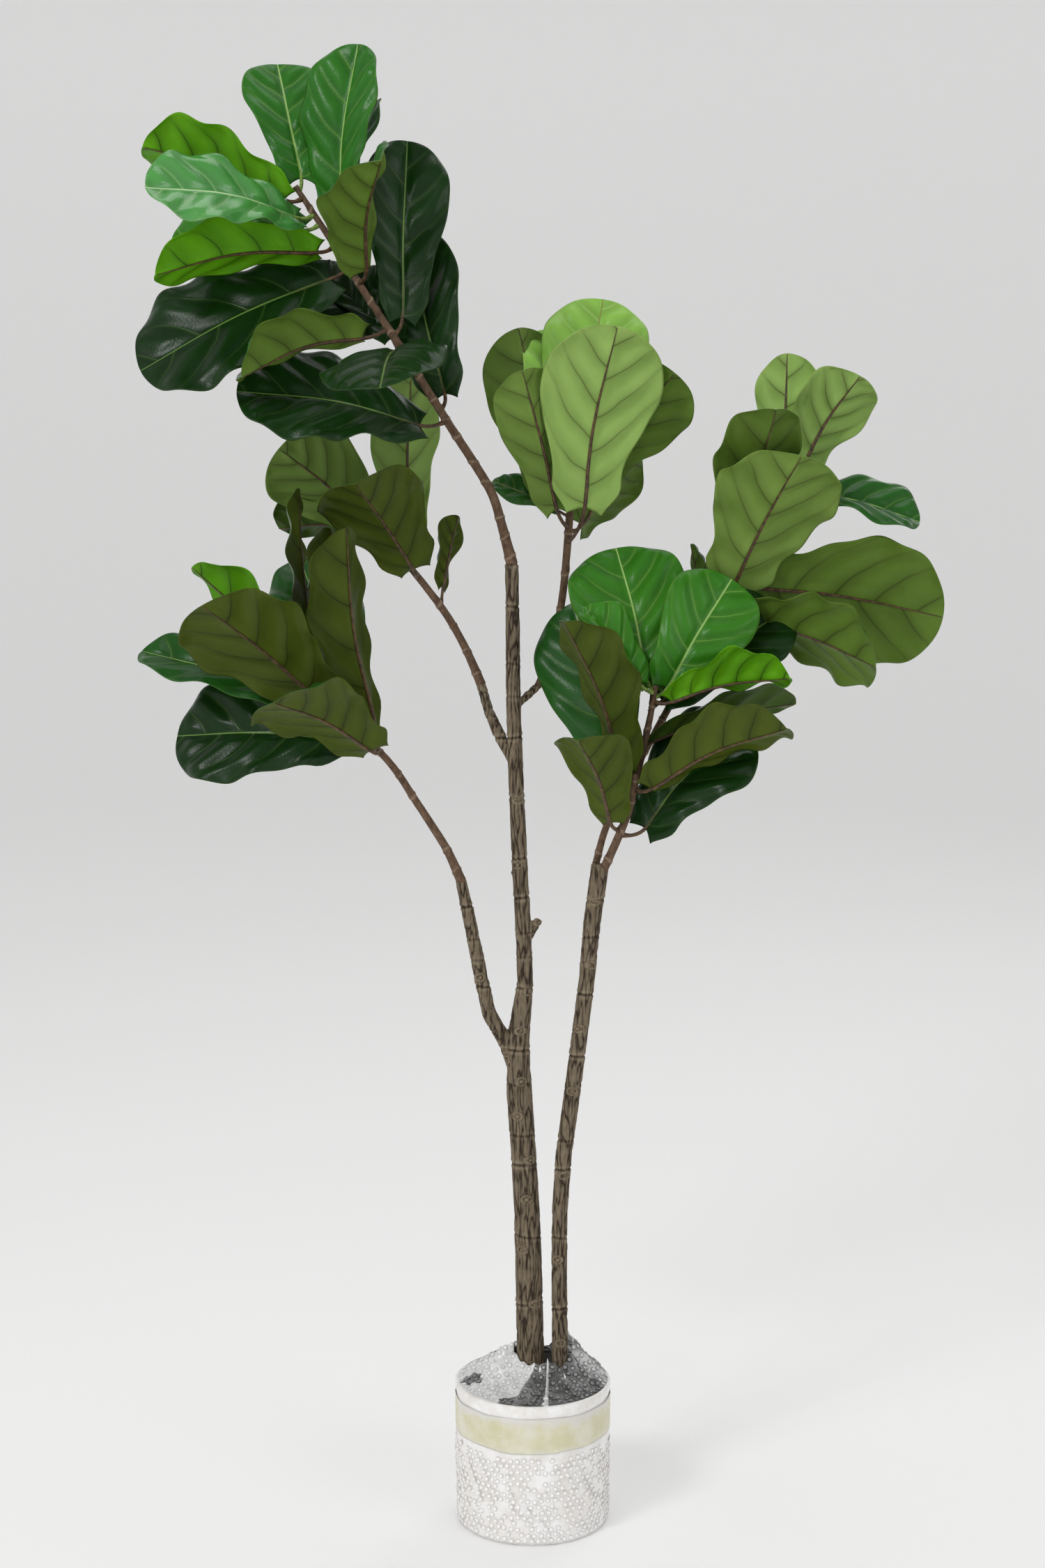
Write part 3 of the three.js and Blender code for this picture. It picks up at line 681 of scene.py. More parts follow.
# a closed tube along a path, with a point at each end
def tube(path, radii, sides):
    path = [Vector(p) for p in path]
    tangents = []
    for i in range(len(path)):
        a, b = path[max(i - 1, 0)], path[min(i + 1, len(path) - 1)]
        tangents.append((b - a).normalized())
    normal = tangents[0].orthogonal().normalized()
    verts, faces = [path[0][:]], []
    for i, (centre, radius) in enumerate(zip(path, radii)):
        normal = (normal - tangents[i] * normal.dot(tangents[i])).normalized()
        other = tangents[i].cross(normal)
        for k in range(sides):
            turn = 2 * math.pi * k / sides
            verts.append((centre + (normal * math.cos(turn) + other * math.sin(turn))
                          * radius)[:])
    verts.append(path[-1][:])
    last = len(verts) - 1
    for k in range(sides):
        after = (k + 1) % sides
        faces.append((0, 1 + after, 1 + k))
        for i in range(len(path) - 1):
            a, b = 1 + i * sides + k, 1 + i * sides + after
            faces.append((a, b, b + sides, a + sides))
        end = 1 + (len(path) - 1) * sides
        faces.append((end + k, end + after, last))
    return np.array(verts), faces


for branch, kinds in leafKinds.items():
    for number, kind in enumerate(kinds, 1):
        node = f"{branch}_leaf_{number}"
        makeLeaf("blade_" + node, readLeaf(nodes[node]), kind, node, [node])
print("leaves made")

# smaller leaves tucked behind the others, with no CAD solid: where each leaves its twig, its
# tip, the way its top faces, its width and the arch of its midrib, in millimetres and
# degrees, and its look
tuckedLeaves = {
    "crownBehindTop": ((-224, 8, 1607), (-186, 78, 1752), (-0.9, -0.5, 0.1), 110, 18, "forest"),
    "crownBehindStem": ((-176, 0, 1478), (-278, 62, 1548), (0.1, -0.9, 0.3), 92, 18, "deep"),
    "crownBehindStemLow": ((-160, -8, 1462), (-216, 66, 1556), (0.3, -0.9, 0.1), 88, 15,
                           "deep"),
    "upperLeftSprig": ((-112, 50, 1160), (-92, 78, 1262), (-0.9, 0.5, 0), 54, 12, "umber"),
    "lowerLeftUpright": ((-250, -52, 1060), (-280, 0, 1300), (-1, 0.2, 0), 78, 15, "umber"),
    "middleBehind": ((45, 48, 1316), (14, 112, 1486), (0.4, -0.9, 0.2), 92, 15, "pale"),
    "middleSmallLeft": ((44, 46, 1262), (-50, 62, 1304), (0, -0.6, 0.8), 50, 18, "olive"),
    "frontBehindRight": ((140, -52, 1040), (303, 20, 1150), (-0.1, -0.8, 0.6), 118, 20, "deep"),
    "frontLowRight": ((122, -50, 992), (317, -10, 1042), (0, 0.5, 0.85), 104, 22, "deep"),
    "frontBehindSmall": ((140, -54, 1050), (152, 66, 1214), (0, -1, 0.2), 84, 15, "sage"),
    "rightSmall": ((206, 30, 1110), (192, 46, 1230), (0.9, 0.2, 0.1), 60, 12, "deep"),
}


# the same form that a CAD leaf gives, drawn from its two ends
def drawnLeaf(root, tip, face, width, arch):
    root, tip, face = Vector(root) * mm, Vector(tip) * mm, Vector(face)
    reach = tip - root
    aim = reach.normalized()
    up = (face - aim * face.dot(aim)).normalized()
    sag = reach.length / 2 * math.tan(math.radians(arch) / 4)
    line, ups = [], []
    neck = 18 * mm / reach.length
    for share in [0, 3 * mm / reach.length, neck] + [neck + (1 - neck) * float(r)
                                                    for r in ringShares[1:]]:
        line.append(root + reach * share + up * sag * 4 * share * (1 - share))
        ups.append(up - aim * sag * 4 * (1 - 2 * share) / reach.length)
    return {"line": line, "ups": [u.normalized() for u in ups[3:-1]],
            "half": width / 2 * mm, "fold": math.radians(16)}


for name, (root, tip, face, width, arch, kind) in tuckedLeaves.items():
    form = drawnLeaf(root, tip, face, width, arch)
    makeLeaf("leaf_" + name, form, kind, name, size=0.8)
print("tucked leaves made")

# ---- trunks and branches


# bark colour follows its own relief, from the floor of a fissure to the top of a ridge: painted
# shade in the fissures and painted light on the ridges
def barkMaterial(name, dark, light, ring):
    material, tree, shader = newMaterial(name, {"Roughness": 0.78, "IOR": 1.46,
                                                "Specular IOR Level": 0.3})
    coords = addNode(tree, "ShaderNodeTexCoord")
    relief = addNode(tree, "ShaderNodeAttribute", {"attribute_name": "barkRelief"})
    stretch = addNode(tree, "ShaderNodeMapping", {}, {
        "Vector": coords.outputs["Object"], "Scale": (1.0, 1.0, 0.22)})
    grain = addNode(tree, "ShaderNodeTexNoise", {}, {
        "Vector": stretch.outputs[0], "Scale": 420.0, "Detail": 4.0, "Roughness": 0.65})
    patches = addNode(tree, "ShaderNodeTexNoise", {}, {
        "Vector": coords.outputs["Object"], "Scale": 34.0, "Detail": 3.0})
    level = addNode(tree, "ShaderNodeMath", {"operation": "MULTIPLY_ADD"}, {
        0: grain.outputs[0], 1: 0.7, 2: relief.outputs["Fac"]})
    share = addNode(tree, "ShaderNodeMapRange", {}, {
        "Value": level.outputs[0], "From Min": 0.5, "From Max": 1.1})
    ground = addNode(tree, "ShaderNodeMix", {"data_type": "RGBA"}, {
        0: share.outputs[0], 6: hexColor(dark), 7: hexColor(light)})
    tint = addNode(tree, "ShaderNodeMix", {"data_type": "RGBA"}, {
        0: patches.outputs[0], 6: hexColor("#c9b49a"), 7: hexColor("#ffffff")})
    warm = addNode(tree, "ShaderNodeMix", {"data_type": "RGBA", "blend_type": "MULTIPLY"}, {
        0: 0.5, 6: ground.outputs[2], 7: tint.outputs[2]})
    paleRing = addNode(tree, "ShaderNodeAttribute", {"attribute_name": "paleRing"})
    ringed = addNode(tree, "ShaderNodeMix", {"data_type": "RGBA"}, {
        0: paleRing.outputs["Fac"], 6: warm.outputs[2], 7: hexColor(ring)})
    tree.links.new(ringed.outputs[2], shader.inputs["Base Color"])
    bump = addNode(tree, "ShaderNodeBump", {}, {
        "Strength": 0.6, "Distance": 0.0012, "Height": grain.outputs[0]})
    tree.links.new(bump.outputs[0], shader.inputs["Normal"])
    return material


# moulded trunk, with painted shade in its dark fissures and painted light on its pale ridges
trunkBark = barkMaterial("trunkBark", "#352b20", "#8c806c", "#b3a68c")
# smoother moulded twig with pale rings where its joints plug in
twigBark = barkMaterial("twigBark", "#3a2a1f", "#7d6653", "#a08c76")

trunkShape = {
    "voxel": 1.35 * mm,
    "fissure": 1.1 * mm,
    "fissureScale": (230, 30),  # per metre, across and along the trunk
    "fissureFrom": 0.74,  # the nearer to 1, the narrower the fissures
    "gritScale": (420, 90),
    "eyeSize": 7.5 * mm,
    "seamsFrom": 0.2,  # height of the lowest and the highest joint seam
    "seamsTo": 1.25,
    "seamSteps": (0.03, 0.095),
    "seamDepths": (0.25, 0.85),  # share of a fissure's depth
}
# eye knots: height on the trunk and the side they face, in degrees (270 is the front)
eyeKnots = {
    "main_trunk": [(0.21, 262), (0.29, 292), (0.36, 240), (0.425, 276), (0.475, 300),
                   (0.52, 255), (0.565, 282), (0.6, 230), (0.63, 275), (0.68, 300),
                   (0.70, 262), (0.77, 285), (0.85, 250), (0.93, 280), (0.47, 120),
                   (0.33, 60), (0.56, 40), (0.75, 110), (0.9, 80)],
    "second_trunk": [(0.23, 270), (0.34, 250), (0.45, 290), (0.56, 268), (0.64, 255),
                     (0.72, 285), (0.80, 262), (0.4, 80), (0.62, 110)],
}


# the CAD trunk meshed finely, with fissures, joint seams and eye knots raised in its surface
def makeTrunk(node):
    mesh = mergedCopy(nodes[node])
    data = bpy.data.meshes.new("bark_" + node)
    mesh.to_mesh(data)
    mesh.free()
    maker = newMaker(data)
    remesh = maker.modifiers.new("remesh", "REMESH")
    remesh.mode = "VOXEL"
    remesh.voxel_size = trunkShape["voxel"]
    relax = maker.modifiers.new("relax", "SMOOTH")
    relax.factor = 0.5
    relax.iterations = 14
    fine = appliedMesh(maker, "bark_" + node)
    count = len(fine.vertices)
    co = np.zeros(count * 3)
    no = np.zeros(count * 3)
    fine.vertices.foreach_get("co", co)
    fine.vertices.foreach_get("normal", no)
    co, no = co.reshape(-1, 3), no.reshape(-1, 3)
    relief = np.zeros(count)
    wide, tall = trunkShape["fissureScale"]
    gritWide, gritTall = trunkShape["gritScale"]
    opens = trunkShape["fissureFrom"]
    for i in range(count):
        x, y, z = co[i]
        warp = noise.noise((x * 60, y * 60, z * 22)) * 0.6
        deep = 1 - abs(noise.noise((x * wide + warp, y * wide, z * tall)))
        grit = noise.noise((x * gritWide, y * gritWide, z * gritTall))
        relief[i] = -1.15 * (max(deep - opens, 0) / (1 - opens)) ** 1.3 + 0.3 * grit
    # horizontal seams between the moulded lengths, at uneven steps
    rng = random.Random(5)
    height = trunkShape["seamsFrom"]
    while height < trunkShape["seamsTo"]:
        tilt = rng.uniform(-0.12, 0.12)
        off = np.abs(co[:, 2] - height - tilt * (co[:, 0] - co[:, 0].mean()))
        depth = rng.uniform(*trunkShape["seamDepths"])
        relief -= depth * np.exp(-(off / (1.3 * mm)) ** 2)
        relief += depth * 0.6 * np.exp(-((off - 3.5 * mm) / (2 * mm)) ** 2)
        height += rng.uniform(*trunkShape["seamSteps"])
    for z, facing in eyeKnots[node]:
        turn = math.radians(facing)
        level = np.abs(co[:, 2] - z) < 6 * mm
        if not level.any():
            continue
        score = np.where(level, co[:, 0] * math.cos(turn) + co[:, 1] * math.sin(turn), -9)
        centre = co[int(np.argmax(score))]
        gap = (co - centre) * [0.85, 0.85, 1.25]
        away = np.linalg.norm(gap, axis=1) / trunkShape["eyeSize"]
        away += 0.3 * relief * (away < 2)
        rings = np.cos(away * 9.5) * np.exp(-(away / 0.9) ** 2)
        relief = relief * (1 - np.exp(-(away / 0.8) ** 4)) + rings * 0.85
    co += no * (relief * trunkShape["fissure"])[:, None]
    co[:, 2] = np.maximum(co[:, 2], cadLow.z)
    fine.vertices.foreach_set("co", co.ravel())
    # the relief is kept so that the bark paints shade into the fissures and light on the ridges
    fine.attributes.new("barkRelief", "FLOAT", "POINT").data.foreach_set(
        "value", np.clip(0.55 + relief * 0.45, 0, 1).astype(np.float32))
    fine.attributes.new("paleRing", "FLOAT", "POINT")
    fine.shade_smooth()
    fine.update()
    print(node, "faces", len(fine.polygons))
    return newPiece("bark_" + node, fine, [trunkBark], [node])


for node in eyeKnots:
    makeTrunk(node)
print("trunks made")

# ring by ring, a branch's centre line and radius, read back from its CAD solid


def readBranch(node):
    mesh = mergedCopy(node)
    corners = [v for v in mesh.verts if len(v.link_edges) <= 4]
    start = corners[0]
    near = [v for v in corners if (v.co - start.co).length < 0.02]
    a, b, c = near[:3]
    flat = (b.co - a.co).cross(c.co - a.co).normalized()
    front = [v for v in mesh.verts
             if abs((v.co - a.co).dot(flat)) < 0.1 * mm and (v.co - a.co).length < 0.02]
    seen = set(front)
    rings = []
    while front:
        centre = sum((v.co for v in front), Vector()) / len(front)
        radius = sum((v.co - centre).length for v in front) / len(front)
        rings.append((centre, radius))
        step = []
        for v in front:
            for e in v.link_edges:
                other = e.other_vert(v)
                if other not in seen:
                    seen.add(other)
                    step.append(other)
        front = step
    mesh.free()
    if rings[0][1] < rings[-1][1]:
        rings.reverse()
    return rings


# skins a branch's line: a round section of the line's own radius, with joint rings and grain
def branchSkinTree():
    tree = bpy.data.node_groups.new("branchSkin", "GeometryNodeTree")
    face = tree.interface
    face.new_socket("Geometry", in_out="INPUT", socket_type="NodeSocketGeometry")
    for label, value in [("Step", 2 * mm), ("Ring Spacing", 34 * mm), ("Ring Height", 0.9 * mm),
                         ("Grain Depth", 0.5 * mm)]:
        socket = face.new_socket(label, in_out="INPUT", socket_type="NodeSocketFloat")
        socket.default_value = value
    face.new_socket("Bark", in_out="INPUT", socket_type="NodeSocketMaterial")
    face.new_socket("Geometry", in_out="OUTPUT", socket_type="NodeSocketGeometry")
    given = addNode(tree, "NodeGroupInput")
    line = addNode(tree, "GeometryNodeMeshToCurve", {}, {"Mesh": given.outputs["Geometry"]})
    spline = addNode(tree, "GeometryNodeCurveSplineType", {"spline_type": "CATMULL_ROM"},
                     {"Curve": line.outputs[0]})
    girth = addNode(tree, "GeometryNodeInputNamedAttribute", {"data_type": "FLOAT"},
                    {"Name": "girth"})
    sized = addNode(tree, "GeometryNodeSetCurveRadius", {}, {
        "Curve": spline.outputs[0], "Radius": girth.outputs["Attribute"]})
    fine = addNode(tree, "GeometryNodeResampleCurve", {"mode": "LENGTH"}, {
        "Curve": sized.outputs[0], "Length": given.outputs["Step"]})
    run = addNode(tree, "GeometryNodeSplineParameter")
    kept = addNode(tree, "GeometryNodeStoreNamedAttribute", {
        "data_type": "FLOAT", "domain": "POINT"}, {
        "Geometry": fine.outputs[0], "Name": "runLength", "Value": run.outputs["Length"]})
    section = addNode(tree, "GeometryNodeCurvePrimitiveCircle", {}, {
        "Resolution": 18, "Radius": 1.0})
    skin = addNode(tree, "GeometryNodeCurveToMesh", {}, {
        "Curve": kept.outputs[0], "Profile Curve": section.outputs[0], "Fill Caps": True})
    if "Scale" in skin.inputs:
        radius = addNode(tree, "GeometryNodeInputRadius")
        tree.links.new(radius.outputs[0], skin.inputs["Scale"])
    length = addNode(tree, "GeometryNodeInputNamedAttribute", {"data_type": "FLOAT"},
                     {"Name": "runLength"})
    # the rings are unevenly spaced, by up to about half a spacing
    where = addNode(tree, "GeometryNodeInputPosition")
    drift = addNode(tree, "ShaderNodeTexNoise", {}, {
        "Vector": where.outputs[0], "Scale": 17.0, "Detail": 0.0})
    steps = addNode(tree, "ShaderNodeMath", {"operation": "DIVIDE"}, {
        0: length.outputs["Attribute"], 1: given.outputs["Ring Spacing"]})
    count = addNode(tree, "ShaderNodeMath", {"operation": "MULTIPLY_ADD"}, {
        0: drift.outputs[0], 1: 1.6, 2: steps.outputs[0]})
    near = addNode(tree, "ShaderNodeMath", {"operation": "PINGPONG"}, {
        0: count.outputs[0], 1: 0.5})
    apart = addNode(tree, "ShaderNodeMath", {"operation": "MULTIPLY"}, {
        0: near.outputs[0], 1: given.outputs["Ring Spacing"]})
    ring = addNode(tree, "ShaderNodeMapRange", {"interpolation_type": "SMOOTHSTEP"}, {
        "Value": apart.outputs[0], "From Min": 0.0, "From Max": 4 * mm,
        "To Min": 1.0, "To Max": 0.0})
    pale = addNode(tree, "ShaderNodeMapRange", {"interpolation_type": "SMOOTHSTEP"}, {
        "Value": apart.outputs[0], "From Min": 0.6 * mm, "From Max": 1.8 * mm,
        "To Min": 0.6, "To Max": 0.0})
    grain = addNode(tree, "ShaderNodeTexNoise", {}, {
        "Vector": where.outputs[0], "Scale": 130.0, "Detail": 4.0, "Roughness": 0.6})
    relief = addNode(tree, "ShaderNodeMath", {"operation": "SUBTRACT"}, {
        0: grain.outputs[0], 1: 0.5})
    rough = addNode(tree, "ShaderNodeMath", {"operation": "MULTIPLY"}, {
        0: relief.outputs[0], 1: given.outputs["Grain Depth"]})
    raised = addNode(tree, "ShaderNodeMath", {"operation": "MULTIPLY_ADD"}, {
        0: ring.outputs[0], 1: given.outputs["Ring Height"], 2: rough.outputs[0]})
    outward = addNode(tree, "GeometryNodeInputNormal")
    shift = addNode(tree, "ShaderNodeVectorMath", {"operation": "SCALE"}, {
        0: outward.outputs[0], "Scale": raised.outputs[0]})
    moved = addNode(tree, "GeometryNodeSetPosition", {}, {
        "Geometry": skin.outputs[0], "Offset": shift.outputs[0]})
    keepRelief = addNode(tree, "GeometryNodeStoreNamedAttribute", {
        "data_type": "FLOAT", "domain": "POINT"}, {
        "Geometry": moved.outputs[0], "Name": "barkRelief", "Value": grain.outputs[0]})
    keepPale = addNode(tree, "GeometryNodeStoreNamedAttribute", {
        "data_type": "FLOAT", "domain": "POINT"}, {
        "Geometry": keepRelief.outputs[0], "Name": "paleRing", "Value": pale.outputs[0]})
    solid = addNode(tree, "GeometryNodeRealizeInstances", {}, {0: keepPale.outputs[0]})
    dressed = addNode(tree, "GeometryNodeSetMaterial", {}, {
        "Geometry": solid.outputs[0], "Material": given.outputs["Bark"]})
    addNode(tree, "NodeGroupOutput", {}, {0: dressed.outputs[0]})
    return tree


# runs a node tree on a mesh and returns the result as a plain mesh
def grown(name, mesh, tree, values):
    maker = newMaker(mesh)
    modifier = maker.modifiers.new("grow", "NODES")
    modifier.node_group = tree
    sockets = {item.name: item.identifier for item in tree.interface.items_tree
               if item.in_out == "INPUT"}
    for label, value in values.items():
        modifier[sockets[label]] = value
    return appliedMesh(maker, name)


branchSkin = {"Step": 2 * mm, "Ring Height": 0.9 * mm, "Grain Depth": 0.9 * mm}
ringSpacings = {"crown": 31 * mm, "upper_left": 42 * mm, "lower_left": 48 * mm,
                "middle": 52 * mm, "front": 40 * mm, "right": 46 * mm}
skinTree = branchSkinTree()
for branch, spacing in ringSpacings.items():
    node = f"{branch}_branch"
    rings = readBranch(nodes[node])
    first, second = rings[0][0], rings[1][0]
    points = [first + (first - second).normalized() * 2 * mm] + [c for c, r in rings]
    girths = [rings[0][1]] + [r for c, r in rings]
    lineMesh = bpy.data.meshes.new("line")
    lineMesh.from_pydata([p[:] for p in points],
                         [(i, i + 1) for i in range(len(points) - 1)], [])
    lineMesh.attributes.new("girth", "FLOAT", "POINT").data.foreach_set("value", girths)
    skin = grown("skin_" + node, lineMesh, skinTree,
                 {**branchSkin, "Ring Spacing": spacing, "Bark": twigBark})
    skin.shade_smooth()
    print(node, "rings", len(rings), "faces", len(skin.polygons))
    newPiece("skin_" + node, skin, [], [node])
print("branches made")

# ---- pot, soil and wrapping

potLow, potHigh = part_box("pot")
rimRadius = (potHigh.x - potLow.x) / 2
rimHeight = potHigh.z
footRadius = 93 * mm
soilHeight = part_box("soil")[1].z


# injection moulded polypropylene, plain white and glossy, with faint flow marks
def potMaterial():
    material, tree, shader = newMaterial("whitePolypropylene", {
        "Roughness": 0.32, "IOR": 1.49, "Subsurface Weight": 0.05})
    coords = addNode(tree, "ShaderNodeTexCoord")
    flow = addNode(tree, "ShaderNodeTexNoise", {}, {
        "Vector": coords.outputs["Object"], "Scale": 45.0, "Detail": 3.0})
    mixed = addNode(tree, "ShaderNodeMix", {"data_type": "RGBA"}, {
        0: flow.outputs[0], 6: hexColor("#e9e8e4"), 7: hexColor("#f4f3f0")})
    tree.links.new(mixed.outputs[2], shader.inputs["Base Color"])
    return material


# cast concrete, trowelled: matt grey with sand and small voids
def concreteMaterial():
    material, tree, shader = newMaterial("castConcrete", {"Roughness": 0.92})
    coords = addNode(tree, "ShaderNodeTexCoord")
    sand = addNode(tree, "ShaderNodeTexNoise", {}, {
        "Vector": coords.outputs["Object"], "Scale": 300.0, "Detail": 6.0})
    mixed = addNode(tree, "ShaderNodeMix", {"data_type": "RGBA"}, {
        0: sand.outputs[0], 6: hexColor("#6d6a64"), 7: hexColor("#a8a59d")})
    tree.links.new(mixed.outputs[2], shader.inputs["Base Color"])
    bump = addNode(tree, "ShaderNodeBump", {}, {
        "Strength": 0.6, "Distance": 0.001, "Height": sand.outputs[0]})
    tree.links.new(bump.outputs[0], shader.inputs["Normal"])
    return material


# dyed coir and peat crumb: near black with brown fibres
def soilMaterial():
    material, tree, shader = newMaterial("darkCoirCrumb", {"Roughness": 0.9})
    coords = addNode(tree, "ShaderNodeTexCoord")
    crumb = addNode(tree, "ShaderNodeTexNoise", {}, {
        "Vector": coords.outputs["Object"], "Scale": 380.0, "Detail": 5.0})
    mixed = addNode(tree, "ShaderNodeMix", {"data_type": "RGBA"}, {
        0: crumb.outputs[0], 6: hexColor("#0f0d0b"), 7: hexColor("#3a3229")})
    tree.links.new(mixed.outputs[2], shader.inputs["Base Color"])
    bump = addNode(tree, "ShaderNodeBump", {}, {
        "Strength": 0.8, "Distance": 0.002, "Height": crumb.outputs[0]})
    tree.links.new(bump.outputs[0], shader.inputs["Normal"])
    return material


# blown polyethylene bubble film: milky where it lies double, with wet-looking glints, partly
# painted: each bubble's dome is painted darker as shade and its crown painted white as a
# highlight; a sheet with an edge colour goes over to it along both borders
def filmMaterial(name, dark, light, through, rough, domeShade, edge=None):
    material, tree, shader = newMaterial(name, {
        "Roughness": rough, "IOR": 1.42, "Transmission Weight": through,
        "Specular IOR Level": 0.8})
    coords = addNode(tree, "ShaderNodeTexCoord")
    cloud = addNode(tree, "ShaderNodeTexNoise", {}, {
        "Vector": coords.outputs["Object"], "Scale": 32.0, "Detail": 5.0, "Roughness": 0.65})
    # on the single clear film the white of this cloud is painted glints
    share = addNode(tree, "ShaderNodeMapRange", {"interpolation_type": "SMOOTHSTEP"}, {
        "Value": cloud.outputs[0], "From Min": 0.35, "From Max": 0.65})
    mixed = addNode(tree, "ShaderNodeMix", {"data_type": "RGBA"}, {
        0: share.outputs[0], 6: hexColor(dark), 7: hexColor(light)})
    # a bubble keeps the sheet's colour round its foot; above that its dome is painted darker as
    # shade and its crown painted white as a highlight
    dome = addNode(tree, "ShaderNodeAttribute", {"attribute_name": "dome"})
    low = addNode(tree, "ShaderNodeMapRange", {"interpolation_type": "SMOOTHSTEP"}, {
        "Value": dome.outputs["Fac"], "From Min": 0.02, "From Max": 0.3})
    crown = addNode(tree, "ShaderNodeMapRange", {"interpolation_type": "SMOOTHSTEP"}, {
        "Value": dome.outputs["Fac"], "From Min": 0.55, "From Max": 0.9})
    ringed = addNode(tree, "ShaderNodeMix", {"data_type": "RGBA"}, {
        0: low.outputs[0], 6: mixed.outputs[2], 7: hexColor(domeShade)})
    paintedCrownHighlight = addNode(tree, "ShaderNodeMix", {"data_type": "RGBA"}, {
        0: crown.outputs[0], 6: ringed.outputs[2], 7: hexColor("#ffffff")})
    last = paintedCrownHighlight
    if edge:
        across = addNode(tree, "ShaderNodeAttribute", {"attribute_name": "across"})
        wander = addNode(tree, "ShaderNodeMath", {"operation": "MULTIPLY_ADD"}, {
            0: cloud.outputs[0], 1: 0.7, 2: -0.35})
        placed = addNode(tree, "ShaderNodeMath", {"operation": "ADD"}, {
            0: across.outputs["Fac"], 1: wander.outputs[0]})
        centred = addNode(tree, "ShaderNodeMath", {"operation": "SUBTRACT"}, {
            0: placed.outputs[0], 1: 0.42})
        away = addNode(tree, "ShaderNodeMath", {"operation": "ABSOLUTE"}, {
            0: centred.outputs[0]})
        fade = addNode(tree, "ShaderNodeMapRange", {"interpolation_type": "SMOOTHSTEP"}, {
            "Value": away.outputs[0], "From Min": 0.26, "From Max": 0.56})
        last = addNode(tree, "ShaderNodeMix", {"data_type": "RGBA"}, {
            0: fade.outputs[0], 6: paintedCrownHighlight.outputs[2], 7: hexColor(edge)})
    tree.links.new(last.outputs[2], shader.inputs["Base Color"])
    crease = addNode(tree, "ShaderNodeTexNoise", {}, {
        "Vector": coords.outputs["Object"], "Scale": 170.0, "Detail": 3.0})
    bump = addNode(tree, "ShaderNodeBump", {}, {
        "Strength": 0.5, "Distance": 0.0012, "Height": crease.outputs[0]})
    tree.links.new(bump.outputs[0], shader.inputs["Normal"])
    return material


for node, material in (("pot", potMaterial()), ("concrete_plug", concreteMaterial())):
    nodes[node].data.materials.clear()
    nodes[node].data.materials.append(material)
# the last colour of each film is the painted shade on its bubbles' domes
milkyFilm = filmMaterial("bubbleFilmDouble", "#efebe6", "#ffffff", 0.04, 0.1, "#dedad6")
# its white cloud streaks are painted glints over the grey
clearFilm = filmMaterial("bubbleFilmSingle", "#8d8e8d", "#ffffff", 0.8, 0.06, "#5c5c5b")
milkyThinFilm = filmMaterial("bubbleFilmFlap", "#e9e9e8", "#ffffff", 0.2, 0.1, "#d0d0cf")
hazyFilm = filmMaterial("bubbleFilmHazy", "#b9b9b8", "#ffffff", 0.5, 0.1, "#9a9a99")
# biaxial polypropylene packing tape, clear with a yellow adhesive, matt from many scuffs
tapeFilm = filmMaterial("packingTape", "#e9e5bf", "#f7f4df", 0.2, 0.3, "#d6d0cd", "#f3f0ea")

wrapShape = {
    "film": 0.5 * mm,
    "bubblePitch": 8.6 * mm,
    "bubbleRadius": 3.7 * mm,
    "bubbleHeight": 2.3 * mm,
    "sleeveGrid": (64, 240),  # rows up the pot, columns round it
    "sleeveGap": 1.1 * mm,  # between the pot and the film's nearest creases
    "hem": 2.2 * mm,  # how unevenly the sleeve ends at the floor
    "crease": 1.5 * mm,
    # longer folds, each from one place to another: angle and height, then angle and height
    "folds": [(248, 74, 281, 17), (300, 100, 322, 30), (205, 110, 228, 46), (20, 96, 48, 30),
              (95, 30, 130, 90), (160, 100, 150, 20)],
    "foldHeight": 4.2 * mm,
    "flapLeft": 34 * mm,  # how high the film stands up on either side of the trunks
    "flapRight": 50 * mm,
    "seam": 279,  # degrees, where the film over the mouth is pinched together
    "topGrid": (46, 330),  # rows from the rim inwards, columns round the mouth
    "topFilm": 0.3 * mm,
    # the oval that the film is gathered to, round both trunks: centre, half sizes and slant
    "gatherCentre": (12.6, -2.5),
    "gatherHalf": (36.5, 23),
    "gatherSlant": -4.4,
    "tapeRange": (116 * mm, 171 * mm),  # no bubbles stand here, under the tape
    "tightRange": ((112 * mm, 122 * mm), (166 * mm, 174 * mm)),  # where the tape pulls it in
    "missing": 0.15,  # share of the bubbles that have gone flat
}


# a closed thin shell round a grid of points; the grid may join up with itself across
def shell(name, grid, thickness, joined, materials):
    rows, columns = grid.shape[:2]
    if joined:
        across = np.roll(grid, -1, axis=1) - np.roll(grid, 1, axis=1)
    else:
        across = np.gradient(grid, axis=1)
    along = np.gradient(grid, axis=0)
    normal = np.cross(across, along)
    normal /= np.linalg.norm(normal, axis=2, keepdims=True) + 1e-12
    outer = (grid + normal * thickness / 2).reshape(-1, 3)
    inner = (grid - normal * thickness / 2).reshape(-1, 3)
    index = np.arange(rows * columns).reshape(rows, columns)
    if joined:
        index = np.concatenate([index, index[:, :1]], axis=1)
    under = index + rows * columns
    faces = []

    def quads(a, flip):
        q = np.stack([a[:-1, :-1], a[:-1, 1:], a[1:, 1:], a[1:, :-1]], axis=-1).reshape(-1, 4)
        return q[:, ::-1] if flip else q

    faces.append(quads(index, False))
    faces.append(quads(under, True))
    for top, low in [(index[0], under[0]), (index[-1][::-1], under[-1][::-1])]:
        faces.append(np.stack([top[1:], top[:-1], low[:-1], low[1:]], axis=-1))
    if not joined:
        for top, low in [(index[:, 0][::-1], under[:, 0][::-1]), (index[:, -1], under[:, -1])]:
            faces.append(np.stack([top[1:], top[:-1], low[:-1], low[1:]], axis=-1))
    mesh = bpy.data.meshes.new(name)
    mesh.from_pydata(np.concatenate([outer, inner]).tolist(), [],
                     np.concatenate(faces).tolist())
    for material in materials:
        mesh.materials.append(material)
    mesh.shade_smooth()
    return mesh


